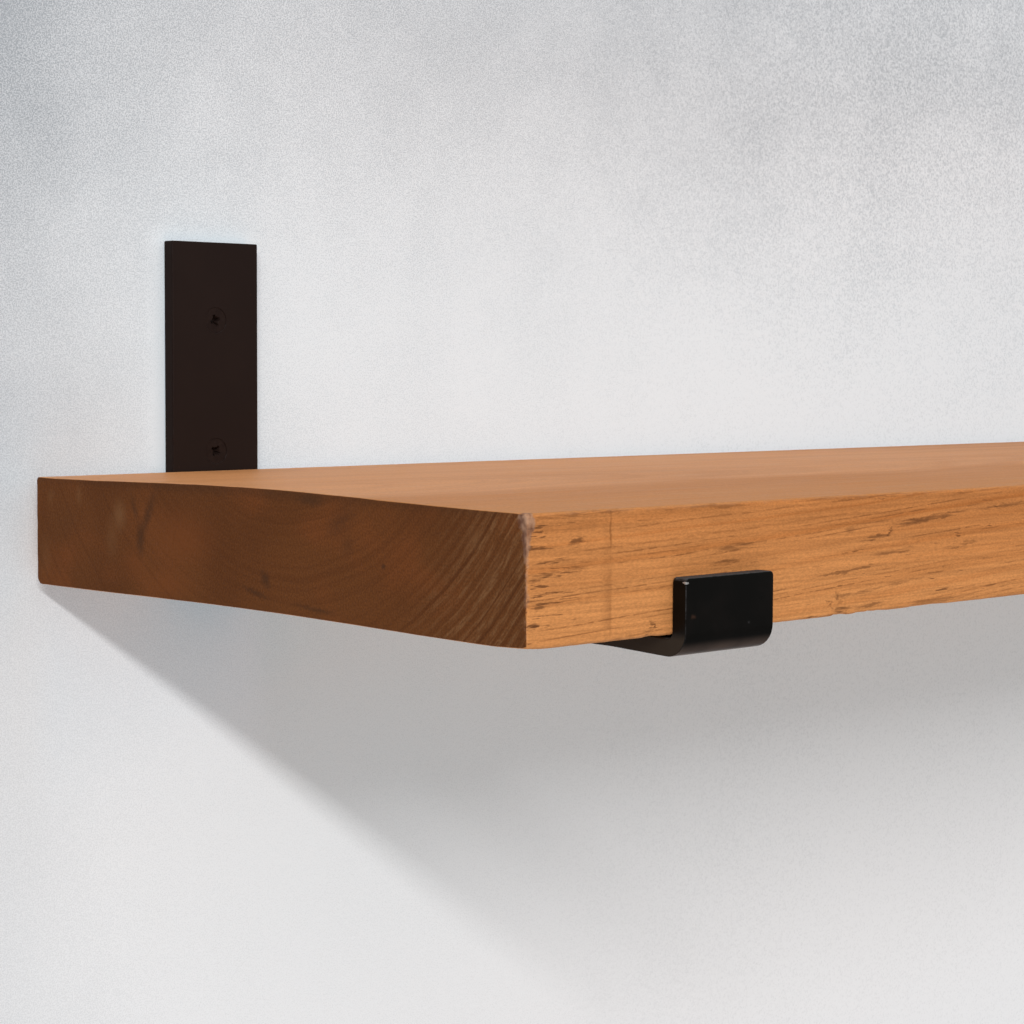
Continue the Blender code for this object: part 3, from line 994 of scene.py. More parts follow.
@dataclass(frozen=True)
class PaintFinish:
    """Satin black paint on bent steel bar, worn on its edges and bends, with painted highlights on its edges,
    a painted reflection on its front bend and upstand, and painted shade on the upstand's sides.
    """

    paint: Colour = (0.0032, 0.0028, 0.0022)
    # A browner tone: in random clouds, and as a painted warm reflection over the upstand.
    brown_tone_and_warm_reflection: Colour = (0.0222, 0.0135, 0.0114)
    # Painted shade on the upstand's sides.
    upstand_side_painted_shade: Colour = (0.0070, 0.0016, 0.0003)
    steel: Colour = (0.360, 0.345, 0.330)
    rust: Colour = (0.052, 0.024, 0.014)
    arm_brown: Colour = (0.032, 0.022, 0.0145)
    # Pale grey, for a small spot on the lip, the lip's upper end, and the edges, where it is worn paint and a
    # painted highlight.
    pale_grey: Colour = (0.085, 0.082, 0.084)
    # Worn paint and a painted reflection under the front bend.
    bend_wear_and_reflection: Colour = (0.104, 0.068, 0.052)

    def make(self, name: str, low: Vector, lip_top: float) -> bpy.types.Material:
        """Build the material for one bracket.

        Args:
            name: The material's name.
            low: The bracket's lowest corner.
            lip_top: The height of the lip's upper end.

        Returns:
            The material.
        """
        bench = FinishBench(name)
        _, y, z = bench.axes
        normal_x, _, normal_z = bench.separate(bench.normal)
        cloud = bench.noise((38.0, 38.0, 38.0), 4.0, 0.6)[0]
        colour = bench.blend(bench.ease(cloud, 0.40, 0.72, 0.0, 0.22), self.paint, self.brown_tone_and_warm_reflection)
        sideways = bench.math("ABSOLUTE", normal_x)
        upstand = bench.ease(z, -0.02, 0.0)
        # Painted reflection: the upstand drawn browner.
        colour = bench.blend(bench.times(upstand, 0.76), colour, self.brown_tone_and_warm_reflection)
        # Painted shade: the upstand's sides drawn darker.
        colour = bench.blend(
            bench.times(upstand, bench.ease(sideways, 0.5, 0.9)), colour, self.upstand_side_painted_shade
        )
        long_edge = bench.times(bench.ease(sideways, 0.12, 0.45), bench.ease(sideways, 0.97, 0.80))
        cut_end = bench.times(bench.ease(normal_z, 0.25, 0.55), bench.ease(normal_z, 0.995, 0.93))
        above = bench.ease(z, lip_top - 0.0045, lip_top - 0.0010)
        edge = bench.math("MAXIMUM", long_edge, bench.times(cut_end, above))
        front = bench.ease(y, low.y + 0.014, low.y + 0.007)
        arm_side = bench.times(
            bench.ease(sideways, 0.85, 0.98), bench.ease(z, low.z + 0.0082, low.z + 0.0050)
        )
        colour = bench.blend(bench.times(arm_side, 0.9), colour, self.arm_brown)
        # Worn paint and a painted reflection: the underside of the front bend drawn paler.
        bend = bench.times(bench.ease(normal_z, -0.34, -0.86), front)
        colour = bench.blend(bench.times(bend, bench.ease(cloud, 0.3, 0.6, 0.45, 0.95)), colour, self.bend_wear_and_reflection)
        lip_end = bench.times(bench.ease(normal_z, 0.55, 0.90), front)
        colour = bench.blend(bench.times(lip_end, 0.60), colour, self.pale_grey)

        patchy = bench.noise((420.0, 420.0, 420.0), 3.0, 0.6)[0]
        edge = bench.times(
            edge,
            bench.ease(z, 0.0, -0.02, 0.12, 1.0),
            bench.ease(z, low.z + 0.006, low.z + 0.017, 0.35, 1.0),
        )
        # Worn paint and a painted highlight: the edges drawn paler.
        edge_wear_and_highlight = bench.times(edge, bench.ease(patchy, 0.34, 0.60))
        colour = bench.blend(bench.times(edge_wear_and_highlight, 0.44), colour, self.pale_grey)
        chip_noise = bench.noise((190.0, 190.0, 190.0), 2.0, 0.55)[0]
        chip = bench.times(edge, bench.ease(chip_noise, 0.71, 0.75))
        speck = bench.ease(bench.noise((520.0, 520.0, 520.0), 1.0)[0], 0.755, 0.80)
        speck = bench.times(speck, bench.ease(bench.noise((30.0, 30.0, 30.0), 1.0)[0], 0.50, 0.62))
        colour = bench.blend(bench.times(speck, 0.7), colour, self.rust)
        colour, spots = self._lip_marks(bench, colour, low, lip_top)
        chip = bench.math("MAXIMUM", chip, spots)
        colour = bench.blend(chip, colour, self.steel)
        rough = bench.ease(cloud, 0.3, 0.7, 0.30, 0.42)
        rough = bench.plus(rough, bench.math("MULTIPLY_ADD", lip_end, 0.40, bench.times(edge_wear_and_highlight, 0.10)))
        bench.set(
            Base_Color=colour, Metallic=bench.times(chip, 0.4), Roughness=rough, Specular_IOR_Level=0.085
        )
        peel = bench.noise((850.0, 850.0, 850.0), 2.0, 0.55)[0]
        wave = bench.noise((95.0, 95.0, 95.0), 1.0)[0]
        height = bench.math("MULTIPLY_ADD", peel, 0.30, bench.times(wave, 0.9))
        height = bench.minus(height, bench.times(chip, 0.5))
        bench.relief(height, 0.00010, 0.35)
        return bench.material

    def _lip_marks(
        self, bench: FinishBench, colour: Feed, low: Vector, lip_top: float
    ) -> tuple[Socket, Socket]:
        """Add the rust spot and the bare chip that the lip's front shows.

        Args:
            bench: The material's bench.
            colour: The colour so far.
            low: The bracket's lowest corner.
            lip_top: The height of the lip's upper end.

        Returns:
            The colour's socket, and the bare spots' socket.
        """
        fray = bench.jitter((600.0, 600.0, 600.0))
        place = bench.vector("ADD", bench.place, bench.vector("SCALE", fray, 0.0012))
        rust = bench.mark(
            place, (low.x + 0.0034, low.y, lip_top - 0.0118), (0.0016, 0.002, 0.0011), core=0.0
        )
        colour = bench.blend(bench.times(rust, 0.6), colour, self.rust)
        pale_grey = bench.mark(
            place, (low.x + 0.0285, low.y, lip_top - 0.0152), (0.0008, 0.002, 0.0007), core=0.0
        )
        colour = bench.blend(bench.times(pale_grey, 0.3), colour, self.pale_grey)
        chip = bench.mark(place, (low.x + 0.0004, low.y, lip_top - 0.0014), (0.0010, 0.002, 0.0006))
        return colour, bench.ease(chip, 0.25, 0.6)


@dataclass(frozen=True)
class ScrewFinish:
    """Screw steel with a plated or blackened skin, rubbed by the driver."""

    name: str
    skin: Colour
    shade: Colour
    rubbed: Colour
    metallic: float
    roughness: float
    specular: float

    def make(self) -> bpy.types.Material:
        """Build the material.

        Returns:
            The material.
        """
        bench = FinishBench(self.name)
        cloud = bench.noise((260.0, 260.0, 260.0), 4.0, 0.6)[0]
        colour = bench.blend(bench.ease(cloud, 0.35, 0.68), self.skin, self.shade)
        scratch = bench.noise((900.0, 240.0, 900.0), 3.0, 0.65)[0]
        worn = bench.ease(scratch, 0.60, 0.72)
        colour = bench.blend(bench.times(worn, 0.55), colour, self.rubbed)
        rough = bench.ease(cloud, 0.3, 0.7, self.roughness - 0.07, self.roughness + 0.10)
        bench.set(
            Base_Color=colour, Metallic=self.metallic, Roughness=rough, Specular_IOR_Level=self.specular
        )
        bench.relief(bench.noise((1400.0, 1400.0, 1400.0))[0], 0.00003, 0.4)
        return bench.material


@dataclass(frozen=True)
class NylonFinish:
    """Moulded grey nylon with a faint flow pattern."""

    pale: Colour = (0.400, 0.400, 0.385)
    deep: Colour = (0.300, 0.302, 0.295)

    def make(self) -> bpy.types.Material:
        """Build the material.

        Returns:
            The material.
        """
        bench = FinishBench("grey_nylon")
        flow = bench.noise((160.0, 40.0, 160.0), 3.0, 0.55)[0]
        grain = bench.noise((1800.0, 1800.0, 1800.0))[0]
        bench.set(
            Base_Color=bench.blend(bench.ease(flow, 0.35, 0.68), self.pale, self.deep),
            Roughness=bench.ease(grain, 0.3, 0.7, 0.46, 0.58),
            Subsurface_Weight=0.08,
            Subsurface_Radius=(0.002, 0.002, 0.002),
        )
        bench.relief(grain, 0.00004, 0.4)
        return bench.material


@dataclass(frozen=True)
class PlasterFinish:
    """Pale plaster of the backdrop, which is clear when it is seen from behind."""

    pale: Colour = (0.790, 0.795, 0.802)
    deep: Colour = (0.300, 0.306, 0.319)
    # Colours of a painted glow: light drawn onto the wall for the camera alone, lifting it and its shade
    # beside, under and above the shelf.
    glow_below: Colour = (0.055, 0.105, 0.124)
    glow_bracket: Colour = (0.092, 0.122, 0.142)
    glow_above: Colour = (0.062, 0.134, 0.172)
    glow_high: Colour = (0.072, 0.093, 0.108)
    glow_far: Colour = (0.098, 0.106, 0.110)
    floor_mirror: float = 0.25

    def make(self) -> bpy.types.Material:
        """Build the material.

        Returns:
            The material.
        """
        bench = FinishBench("pale_plaster")
        x, _, z = bench.axes
        by_shelf = bench.times(
            bench.ease(bench.math("ABSOLUTE", x), 0.85, 0.55), bench.ease(z, -0.45, -0.28)
        )
        stipple = bench.noise((900.0, 900.0, 900.0), 3.0, 0.7)[0]
        # The tone holds painted shade and painted light besides the plaster's own clouds, smears and grit.
        colour = bench.blend(self._tone_and_painted_shade(bench, by_shelf, stipple), self.pale, self.deep)
        rays = bench.add("ShaderNodeLightPath").outputs
        # Painted reflection: below the wall, the floor shows at a quarter of its colour in reflections.
        dimmed = bench.ease(z, -0.25, -0.35, 0.0, 1.0 - self.floor_mirror)
        colour = bench.blend(bench.times(rays["Is Glossy Ray"], dimmed), colour, (0.0, 0.0, 0.0))
        # Painted light: a glow that only the camera sees, lightening the wall and its shade near the shelf.
        seen = bench.times(rays["Is Camera Ray"], bench.ease(z, -0.60, -0.35))
        glow = bench.blend(seen, (0.0, 0.0, 0.0), self._painted_glow(bench, by_shelf))
        bench.set(
            Base_Color=colour,
            Roughness=0.9,
            Specular_IOR_Level=0.2,
            Emission_Color=glow,
            Emission_Strength=1.0,
        )
        bench.relief(stipple, 0.0003, 0.3)
        clear = bench.add("ShaderNodeBsdfTransparent").outputs[0]
        behind = bench.add("ShaderNodeNewGeometry").outputs["Backfacing"]
        mixed = bench.add("ShaderNodeMixShader", {0: behind, 1: bench.shader.outputs[0], 2: clear})
        bench.feed(bench.output.inputs["Surface"], mixed.outputs[0])
        return bench.material

    def _tone_and_painted_shade(self, bench: FinishBench, by_shelf: Feed, stipple: Feed) -> Socket:
        """Lay out how dark the plaster is: its clouds, smears and grit, with painted shade towards the top,
        towards the left and past the shelf's left end, painted light at the upper right and beside the left
        upstand, and darker towards the floor.

        Args:
            bench: The material's bench.
            by_shelf: Where the shelf is near.
            stipple: The plaster's fine relief.

        Returns:
            The tone's socket, 0 where it is pale and 1 where it is deep.
        """
        x, _, z = bench.axes
        cloud = bench.noise((2.6, 2.6, 2.6), 5.0, 0.6)[0]
        smear = bench.noise((14.0, 14.0, 14.0), 5.0, 0.65)[0]
        fine = bench.noise((1900.0, 1900.0, 1900.0), 1.0)[0]
        grain = bench.math("MULTIPLY_ADD", bench.minus(stipple, fine), bench.ease(x, -0.32, 0.12), fine)
        stronger = bench.ease(z, -0.10, 0.16, 0.45, 1.6)
        # Painted shade: the wall darker towards the left.
        left = bench.times(bench.ease(x, -0.15, -0.45, 0.0, 0.19), bench.ease(z, -0.16, 0.02))
        # Painted light: the wall paler just left of the left upstand, where its shade falls.
        beside_bar_painted_light = bench.times(bench.ease(x, -0.402, -0.391), bench.ease(x, -0.342, -0.350, 0.0, -0.24))
        return bench.plus(
            # Painted shade: darker towards the top, or towards the left.
            bench.math("MAXIMUM", bench.ease(z, 0.0, 0.24, 0.0, 0.50), left),
            # Painted shade: darker past the shelf's left end.
            bench.times(bench.ease(x, -0.37, -0.51), bench.ease(z, -0.04, 0.10, 0.36, 0.60), by_shelf),
            # Painted shade: darker at the upper left.
            bench.times(bench.ease(x, 0.10, -0.45, 0.0, 0.12), bench.ease(z, 0.05, 0.16)),
            # Painted light: paler at the upper right.
            bench.times(bench.ease(x, -0.05, 0.12, 0.0, -0.07), bench.ease(z, 0.08, 0.15)),
            # Darker towards the floor.
            bench.ease(z, -0.45, -0.70, 0.0, 0.24),
            bench.times(bench.ease(cloud, 0.35, 0.75, -0.055, 0.11), stronger),
            bench.times(bench.ease(smear, 0.3, 0.7, -0.05, 0.05), stronger),
            bench.ease(stipple, 0.50, 0.28, 0.0, 0.06),
            bench.times(bench.ease(grain, 0.32, 0.68, 0.5, -0.5), bench.ease(z, -0.06, 0.15, 0.22, 0.54)),
            # Painted light beside the left upstand.
            bench.times(beside_bar_painted_light, bench.ease(z, -0.002, 0.004), bench.ease(z, 0.096, 0.088)),
        )

    def _painted_glow(self, bench: FinishBench, by_shelf: Feed) -> Socket:
        """Lay out the painted glow that stands in for the light the pale room throws back at the wall,
        lifting the shade under, beside and above the shelf.

        Args:
            bench: The material's bench.
            by_shelf: Where the shelf is near.

        Returns:
            The socket of the light's colour.
        """
        x, _, z = bench.axes
        below_top, past_top = bench.ease(z, 0.02, -0.02), bench.ease(z, -0.04, 0.0)
        before_right = bench.ease(x, 0.56, 0.40)
        high = bench.times(bench.ease(z, -0.02, 0.02), by_shelf, bench.ease(z, 0.6, 0.3))
        under = bench.times(bench.ease(z, -0.29, -0.09), bench.ease(x, -0.46, -0.25))
        beside = bench.times(bench.ease(z, -0.13, -0.06), bench.ease(x, -0.45, -0.38))
        below = bench.times(bench.math("MAXIMUM", under, beside), below_top, before_right)
        by_bracket = bench.times(
            bench.ease(x, -0.455, -0.435),
            bench.ease(x, -0.335, -0.355),
            bench.ease(z, -0.15, -0.07),
            below_top,
        )
        above = bench.times(bench.ease(z, 0.18, 0.02), bench.ease(x, -0.48, -0.36), past_top, before_right)
        glow = bench.blend(high, self.glow_far, self.glow_high)
        glow = bench.blend(below, glow, self.glow_below)
        glow = bench.blend(by_bracket, glow, self.glow_bracket)
        return bench.blend(above, glow, self.glow_above)


@dataclass(frozen=True)
class Ripple:
    """Uneven waves along a line.

    Attributes:
        wavelength: The longest wave's length.
        height: How high the waves are, about.
        seed: Picks one of many patterns.
        span: The sum of its layers that counts as the full height.
    """

    wavelength: float
    height: float
    seed: int
    layers: int = 6
    shortening: float = 0.83
    weakening: float = 0.55
    span: float = 2.2

    def along(self, place: np.ndarray, number: int = 0) -> np.ndarray:
        """Work out the waves on one of several lines.

        Args:
            place: Distances along the line.
            number: The line's number, each with a pattern of its own.

        Returns:
            The waves' heights at these places.
        """
        rng = np.random.default_rng(self.seed + number)
        total = np.zeros_like(place)
        for layer in range(self.layers):
            length = self.wavelength / (1.0 + self.shortening * layer)
            total += np.sin(math.tau * (place / length + rng.random())) / (1.0 + self.weakening * layer)
        return total / self.span * self.height


def stations(low: float, high: float, step: float, margin: Sequence[float]) -> np.ndarray:
    """Places along a line that crowd together at both ends.

    Args:
        low: The line's start.
        high: Its end.
        step: The spacing in the middle.
        margin: Distances of the crowded places from each end.

    Returns:
        The places in order.
    """
    inner_low, inner_high = low + margin[-1], high - margin[-1]
    count = max(2, round((inner_high - inner_low) / step))
    middle = np.linspace(inner_low, inner_high, count + 1)[1:-1]
    starts = np.array(margin)
    return np.concatenate([low + starts, middle, (high - starts)[::-1]])


@dataclass(frozen=True)
class Chip:
    """A piece broken out of the board's lower front edge.

    Attributes:
        along: Distance from the board's left end.
        half_length: Half its length.
        depth: How far it reaches into the edge.
    """

    along: float
    half_length: float
    depth: float


@dataclass
class ShelfBoard:
    """The thick board, with its cup, rounded edges and the chips of long use."""

    node: str = "shelf_board"
    name: str = "shelf_board_wood"
    slot: str = "board_wood"
    upper_round: float = 0.0012
    lower_front_round: float = 0.0013
    lower_back_round: float = 0.0030
    end_round: float = 0.0006
    top_cup: float = 0.0018
    underside_cup: float = 0.0011
    length_step: float = 0.0016
    depth_step: float = 0.0085
    height_step: float = 0.0030
    margin: tuple[float, ...] = (0.0, 0.0003, 0.0007, 0.0012, 0.0019, 0.0030, 0.0050)
    edge_waves: tuple[Ripple, Ripple] = (Ripple(0.031, 0.24, 10), Ripple(0.0068, 0.13, 50))
    end_waves: tuple[Ripple, Ripple] = (Ripple(0.011, 0.30, 71), Ripple(0.0043, 0.25, 72))
    end_slant: float = 3.0
    least_round: float = 0.25
    spared_back: float = 0.55
    corner_wave: Ripple = Ripple(0.013, 0.60, 73)
    wear_reach: float = 0.004
    chip_wave: Ripple = Ripple(0.006, 0.25, 90)
    chip_inward: float = 0.6
    chip_reach: float = 0.0032
    blunt_reach: Point = (0.005, 0.009, 0.003)
    blunt_shift: Point = (0.0006, 0.0004, 0.00045)
    sharp_angle: float = 50.0
    chips: tuple[Chip, ...] = (
        Chip(0.140, 0.0045, 0.0006),
        Chip(0.156, 0.0100, 0.0005),
        Chip(0.187, 0.0110, 0.0004),
        Chip(0.052, 0.0030, 0.0005),
        Chip(0.318, 0.0080, 0.0009),
        Chip(0.507, 0.0060, 0.0011),
        Chip(0.731, 0.0090, 0.0008),
    )

    def __post_init__(self) -> None:
        """Read the board's box from the frame, without the rise of its cup."""
        low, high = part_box(self.node)
        self.low, self.high = low, Vector((high.x, high.y, 0.0))

    def build(self, finish: WoodFinish) -> bpy.types.Object:
        """Make the board and dress it.

        Args:
            finish: The wood.

        Returns:
            The piece.
        """
        points, faces = self._box_faces()
        points = self._shaped(points)
        mesh = bpy.data.meshes.new(self.name)
        mesh.from_pydata(points.tolist(), [], faces.tolist())
        tidy_mesh(mesh, self.sharp_angle)
        return place_piece(self.name, mesh, self.node, finish.make(self.low, self.high))

    def _box_faces(self) -> tuple[np.ndarray, np.ndarray]:
        """Cover the board's six sides with a grid.

        Returns:
            The grid's points, and its faces as numbers of points.
        """
        steps = (self.length_step, self.depth_step, self.height_step)
        lines = [stations(self.low[i], self.high[i], steps[i], self.margin) for i in range(3)]
        points, faces, count = [], [], 0
        for axis in range(3):
            first, second = [i for i in range(3) if i != axis]
            for value in (self.low[axis], self.high[axis]):
                a, b = np.meshgrid(lines[first], lines[second], indexing="ij")
                sheet = np.full((*a.shape, 3), value)
                sheet[..., first], sheet[..., second] = a, b
                numbers = count + np.arange(a.size).reshape(a.shape)
                quads = [numbers[:-1, :-1], numbers[1:, :-1], numbers[1:, 1:], numbers[:-1, 1:]]
                points.append(sheet.reshape(-1, 3))
                faces.append(np.stack(quads, axis=-1).reshape(-1, 4))
                count += a.size
        return np.concatenate(points), np.concatenate(faces)

    def _shaped(self, points: np.ndarray) -> np.ndarray:
        """Round the box's edges, chip them and cup the board.

        Args:
            points: Points on the plain box.

        Returns:
            The same points on the worn board.
        """
        x, y, z = points.T.copy()
        radius = self._edge_round(x, y, z)
        (centre_y, centre_z), (off_y, off_z) = self._core(y, z, radius)
        in_corner = (np.abs(off_y) > 0) & (np.abs(off_z) > 0)
        square = np.maximum(np.abs(off_y), np.abs(off_z))
        pull = np.where(in_corner, square / np.maximum(np.hypot(off_y, off_z), TINY), 1.0)
        y, z = centre_y + off_y * pull, centre_z + off_z * pull
        x, y, z = self._rounded_ends(x, y, z, radius)
        y, z = self._chipped(x, y, z)

        away = (np.stack([x, y, z]) - np.array(self.low)[:, None]) / np.array(self.blunt_reach)[:, None]
        blunt = np.exp(-(away**2).sum(axis=0))
        x, y, z = (part + shift * blunt for part, shift in zip((x, y, z), self.blunt_shift))
        share = np.clip((y - self.low.y) / (self.high.y - self.low.y), 0.0, 1.0)
        level = np.clip((z - self.low.z) / (self.high.z - self.low.z), 0.0, 1.0)
        cup = self.underside_cup + (self.top_cup - self.underside_cup) * level
        return np.stack([x, y, z + cup * np.sin(math.pi * share) ** 2], axis=1)

    def _edge_round(self, x: np.ndarray, y: np.ndarray, z: np.ndarray) -> np.ndarray:
        """Find the uneven round of the long edge nearest to each point.

        Args:
            x: Places along the board.
            y: Places across it.
            z: Heights.

        Returns:
            The rounds.
        """
        upper = z > (self.low.z + self.high.z) / 2
        front = y < (self.low.y + self.high.y) / 2
        nearest = 2 * upper + front
        rough = np.zeros_like(x)
        for edge in np.unique(nearest):
            uneven = sum(wave.along(x, edge) for wave in self.edge_waves)
            rough = np.where(nearest == edge, uneven, rough)
        lower_round = np.where(front, self.lower_front_round, self.lower_back_round)
        return np.where(upper, self.upper_round, lower_round) * (1.0 + rough)

    def _core(self, y: np.ndarray, z: np.ndarray, radius: np.ndarray) -> tuple[list[np.ndarray], ...]:
        """The places nearest to points on the section's core inside its rounds, and the points' offsets."""
        centres = [np.clip(v, self.low[i] + radius, self.high[i] - radius) for i, v in ((1, y), (2, z))]
        return centres, [y - centres[0], z - centres[1]]

    def _rounded_ends(
        self, x: np.ndarray, y: np.ndarray, z: np.ndarray, radius: np.ndarray
    ) -> tuple[np.ndarray, np.ndarray, np.ndarray]:
        """Round the edges of both ends, most at the worn front corner of the left one.

        Args:
            x: Places along the board.
            y: Places across it.
            z: Heights.
            radius: The edge round that belongs to each point.

        Returns:
            The new places along and across, and the new heights.
        """
        inside, toward_y, toward_z = self._section_depth(y, z, radius)
        wave, tremble = self.end_waves
        rough = wave.along(y + self.end_slant * z) + tremble.along(z - y)
        corner = np.exp(-(((y - self.low.y) / self.wear_reach) ** 2)) * (x < 0)
        behind = np.exp(-(((y - self.high.y) / self.wear_reach) ** 2))
        worn = corner * (1.0 + self.corner_wave.along(z)) - self.spared_back * behind
        end_radius = self.end_round * np.maximum(1.0 + rough + worn, self.least_round)
        from_end = np.minimum(x - self.low.x, self.high.x - x)
        alpha = np.maximum(end_radius - from_end, 0.0)
        beta = np.maximum(end_radius - inside, 0.0)
        both = (alpha > 0) & (beta > 0)
        shrink = np.where(both, np.maximum(alpha, beta) / np.maximum(np.hypot(alpha, beta), TINY), 1.0)
        moved_in = np.where(both, (end_radius - beta * shrink) - inside, 0.0)
        moved_along = np.where(both, (end_radius - alpha * shrink) - from_end, 0.0)
        return x - np.sign(x) * moved_along, y + toward_y * moved_in, z + toward_z * moved_in

    def _section_depth(
        self, y: np.ndarray, z: np.ndarray, radius: np.ndarray
    ) -> tuple[np.ndarray, np.ndarray, np.ndarray]:
        """Find how deep points lie inside the board's rounded section.

        Args:
            y: Places across the board.
            z: Heights.
            radius: The edge round that belongs to each point.

        Returns:
            The depths, and the directions across and up that lead inwards.
        """
        _, (off_y, off_z) = self._core(y, z, radius)
        length = np.maximum(np.hypot(off_y, off_z), TINY)
        in_corner = (np.abs(off_y) > SAME_PLACE) & (np.abs(off_z) > SAME_PLACE)
        gaps = np.stack([y - self.low.y, self.high.y - y, z - self.low.z, self.high.z - z])
        nearest = gaps.argmin(axis=0)
        face_y = np.where(nearest == 0, 1.0, np.where(nearest == 1, -1.0, 0.0))
        face_z = np.where(nearest == 2, 1.0, np.where(nearest == 3, -1.0, 0.0))
        depth = np.where(in_corner, radius - length, gaps.min(axis=0))
        toward_y = np.where(in_corner, -off_y / length, face_y)
        toward_z = np.where(in_corner, -off_z / length, face_z)
        return np.maximum(depth, 0.0), toward_y, toward_z

    def _chipped(self, x: np.ndarray, y: np.ndarray, z: np.ndarray) -> tuple[np.ndarray, np.ndarray]:
        """Break the chips out of the lower front edge.

        Args:
            x: Places along the board.
            y: Places across it.
            z: Heights.

        Returns:
            The new places across and heights.
        """
        near = np.exp(-(((y - self.low.y) ** 2 + (z - self.low.z) ** 2) / self.chip_reach**2))
        bite = np.zeros_like(x)
        for number, chip in enumerate(self.chips):
            reach = (x - self.low.x - chip.along) / chip.half_length
            ragged = 1.0 - self.chip_wave.height + self.chip_wave.along(x, number)
            bite += chip.depth * np.clip(1.0 - reach**2, 0.0, 1.0) * ragged
        return y + bite * near * self.chip_inward, z + bite * near


@dataclass
class BentBar:
    """A bracket: one flat bar with an upstand, an arm and a lip, drilled for its screws."""

    side: Side
    thickness: float = 0.0055
    back_bend: float = 0.0033
    front_bend: float = 0.0022
    bend_steps: int = 14
    arm_dip: float = 0.00095
    dip_reach: float = 0.0318
    dip_bend: float = 0.1
    lip_rise: float = 0.02425
    lip_corner: float = 0.0015
    upstand_corner: float = 0.0005
    corner_steps: int = 5
    edge_round: float = 0.00040
    edge_steps: int = 3
    hole_gap: float = 0.00006
    hole_sides: int = 48
    rim_break: float = 0.00010
    edge_angle: float = 40.0
    sharp_angle: float = 32.0
    slot: str = "bracket_black"

    def __post_init__(self) -> None:
        """Read the bracket's box from the frame."""
        self.node = f"{self.side.value}_bracket"
        self.name = f"{self.side.value}_bracket_bar"
        self.low, self.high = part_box(self.node)
        self.lip_top = self.low.z + self.lip_rise

    @staticmethod
    def rule() -> RuleBench:
        """The tree that bends a flat bar along its path.

        Returns:
            The tree's bench.
        """
        bench = RuleBench("bent_flat_bar")
        middle, width, thickness = bench.size("Middle"), bench.size("Width"), bench.size("Thickness")
        back, front, dip_start = bench.size("Back"), bench.size("Front"), bench.size("Dip Start")
        upstand_top, lip_top = bench.size("Upstand Top"), bench.size("Lip Top")
        arm_level, front_level = bench.size("Arm Level"), bench.size("Front Level")
        back_bend, dip_bend, front_bend = (
            bench.size(f"{name} Bend Radius") for name in ("Back", "Dip", "Front")
        )
        bend_steps = bench.size("Bend Steps", "Int")
        corners = [
            bench.combine(middle, back, upstand_top),
            bench.combine(middle, back, arm_level),
            bench.combine(middle, dip_start, arm_level),
            bench.combine(middle, front, front_level),
            bench.combine(middle, front, lip_top),
        ]
        path = bench.add("GeometryNodeCurvePrimitiveLine").outputs[0]
        path = bench.add("GeometryNodeResampleCurve", {"Curve": path, "Count": len(corners)}).outputs[0]
        feeds = {"Geometry": path, "Position": bench.pick("VECTOR", corners)}
        path = bench.add("GeometryNodeSetPosition", feeds).outputs[0]
        radius = bench.pick("FLOAT", [0.0, back_bend, dip_bend, front_bend, 0.0])
        feeds = {"Curve": path, "Count": bend_steps, "Radius": radius}
        path = bench.add("GeometryNodeFilletCurve", feeds, mode="POLY").outputs[0]
        feeds = {"Width": width, "Height": thickness}
        section = bench.add("GeometryNodeCurvePrimitiveQuadrilateral", feeds, mode="RECTANGLE")
        feeds = {"Curve": path, "Profile Curve": section.outputs[0], "Fill Caps": True}
        bench.close(bench.add("GeometryNodeCurveToMesh", feeds).outputs[0])
        return bench

    def build(
        self, rule: RuleBench, finish: bpy.types.Material, screws: Sequence["WoodScrew"]
    ) -> bpy.types.Object:
        """Bend, round and drill the bar, and dress it.

        Args:
            rule: The tree that bends the bar.
            finish: The paint.
            screws: The screws that go through it.

        Returns:
            The piece.
        """
        half = self.thickness / 2
        dip_start, bend_start = self.low.y + self.dip_reach, self.low.y + self.thickness + self.front_bend
        slope = self.arm_dip / (dip_start - bend_start)
        arm_level = self.low.z + self.arm_dip + half
        mesh = rule.make(
            self.name,
            {
                "Middle": (self.low.x + self.high.x) / 2,
                "Width": self.high.x - self.low.x,
                "Thickness": self.thickness,
                "Back": self.high.y - half,
                "Front": self.low.y + half,
                "Dip Start": dip_start,
                "Upstand Top": self.high.z,
                "Lip Top": self.lip_top,
                "Arm Level": arm_level,
                "Front Level": arm_level - slope * (self.dip_reach - half),
                "Back Bend Radius": self.back_bend + half,
                "Dip Bend Radius": self.dip_bend,
                "Front Bend Radius": self.front_bend + half,
                "Bend Steps": self.bend_steps,
                "Material": finish,
            },
        )
        self._round_corners(mesh)
        bar = bpy.data.objects.new(f"{self.name}_blank", mesh)
        bpy.context.scene.collection.objects.link(bar)
        bevel = bar.modifiers.new("edge round", "BEVEL")
        bevel.width = self.edge_round
        bevel.segments = self.edge_steps
        bevel.limit_method = "ANGLE"
        bevel.angle_limit = math.radians(self.edge_angle)
        cutters = [self._hole(screw) for screw in screws]
        for cutter in cutters:
            drill = bar.modifiers.new("hole", "BOOLEAN")
            drill.operation = "DIFFERENCE"
            drill.solver = "EXACT"
            drill.object = cutter
        drilled = tidy_mesh(evaluated_mesh(bar, self.name), self.sharp_angle)
        for helper in (*cutters, bar):
            bpy.data.objects.remove(helper, do_unlink=True)
        piece = place_piece(self.name, drilled, self.node, finish)
        smooth = piece.modifiers.new("flat faces", "WEIGHTED_NORMAL")
        smooth.keep_sharp = True
        return piece

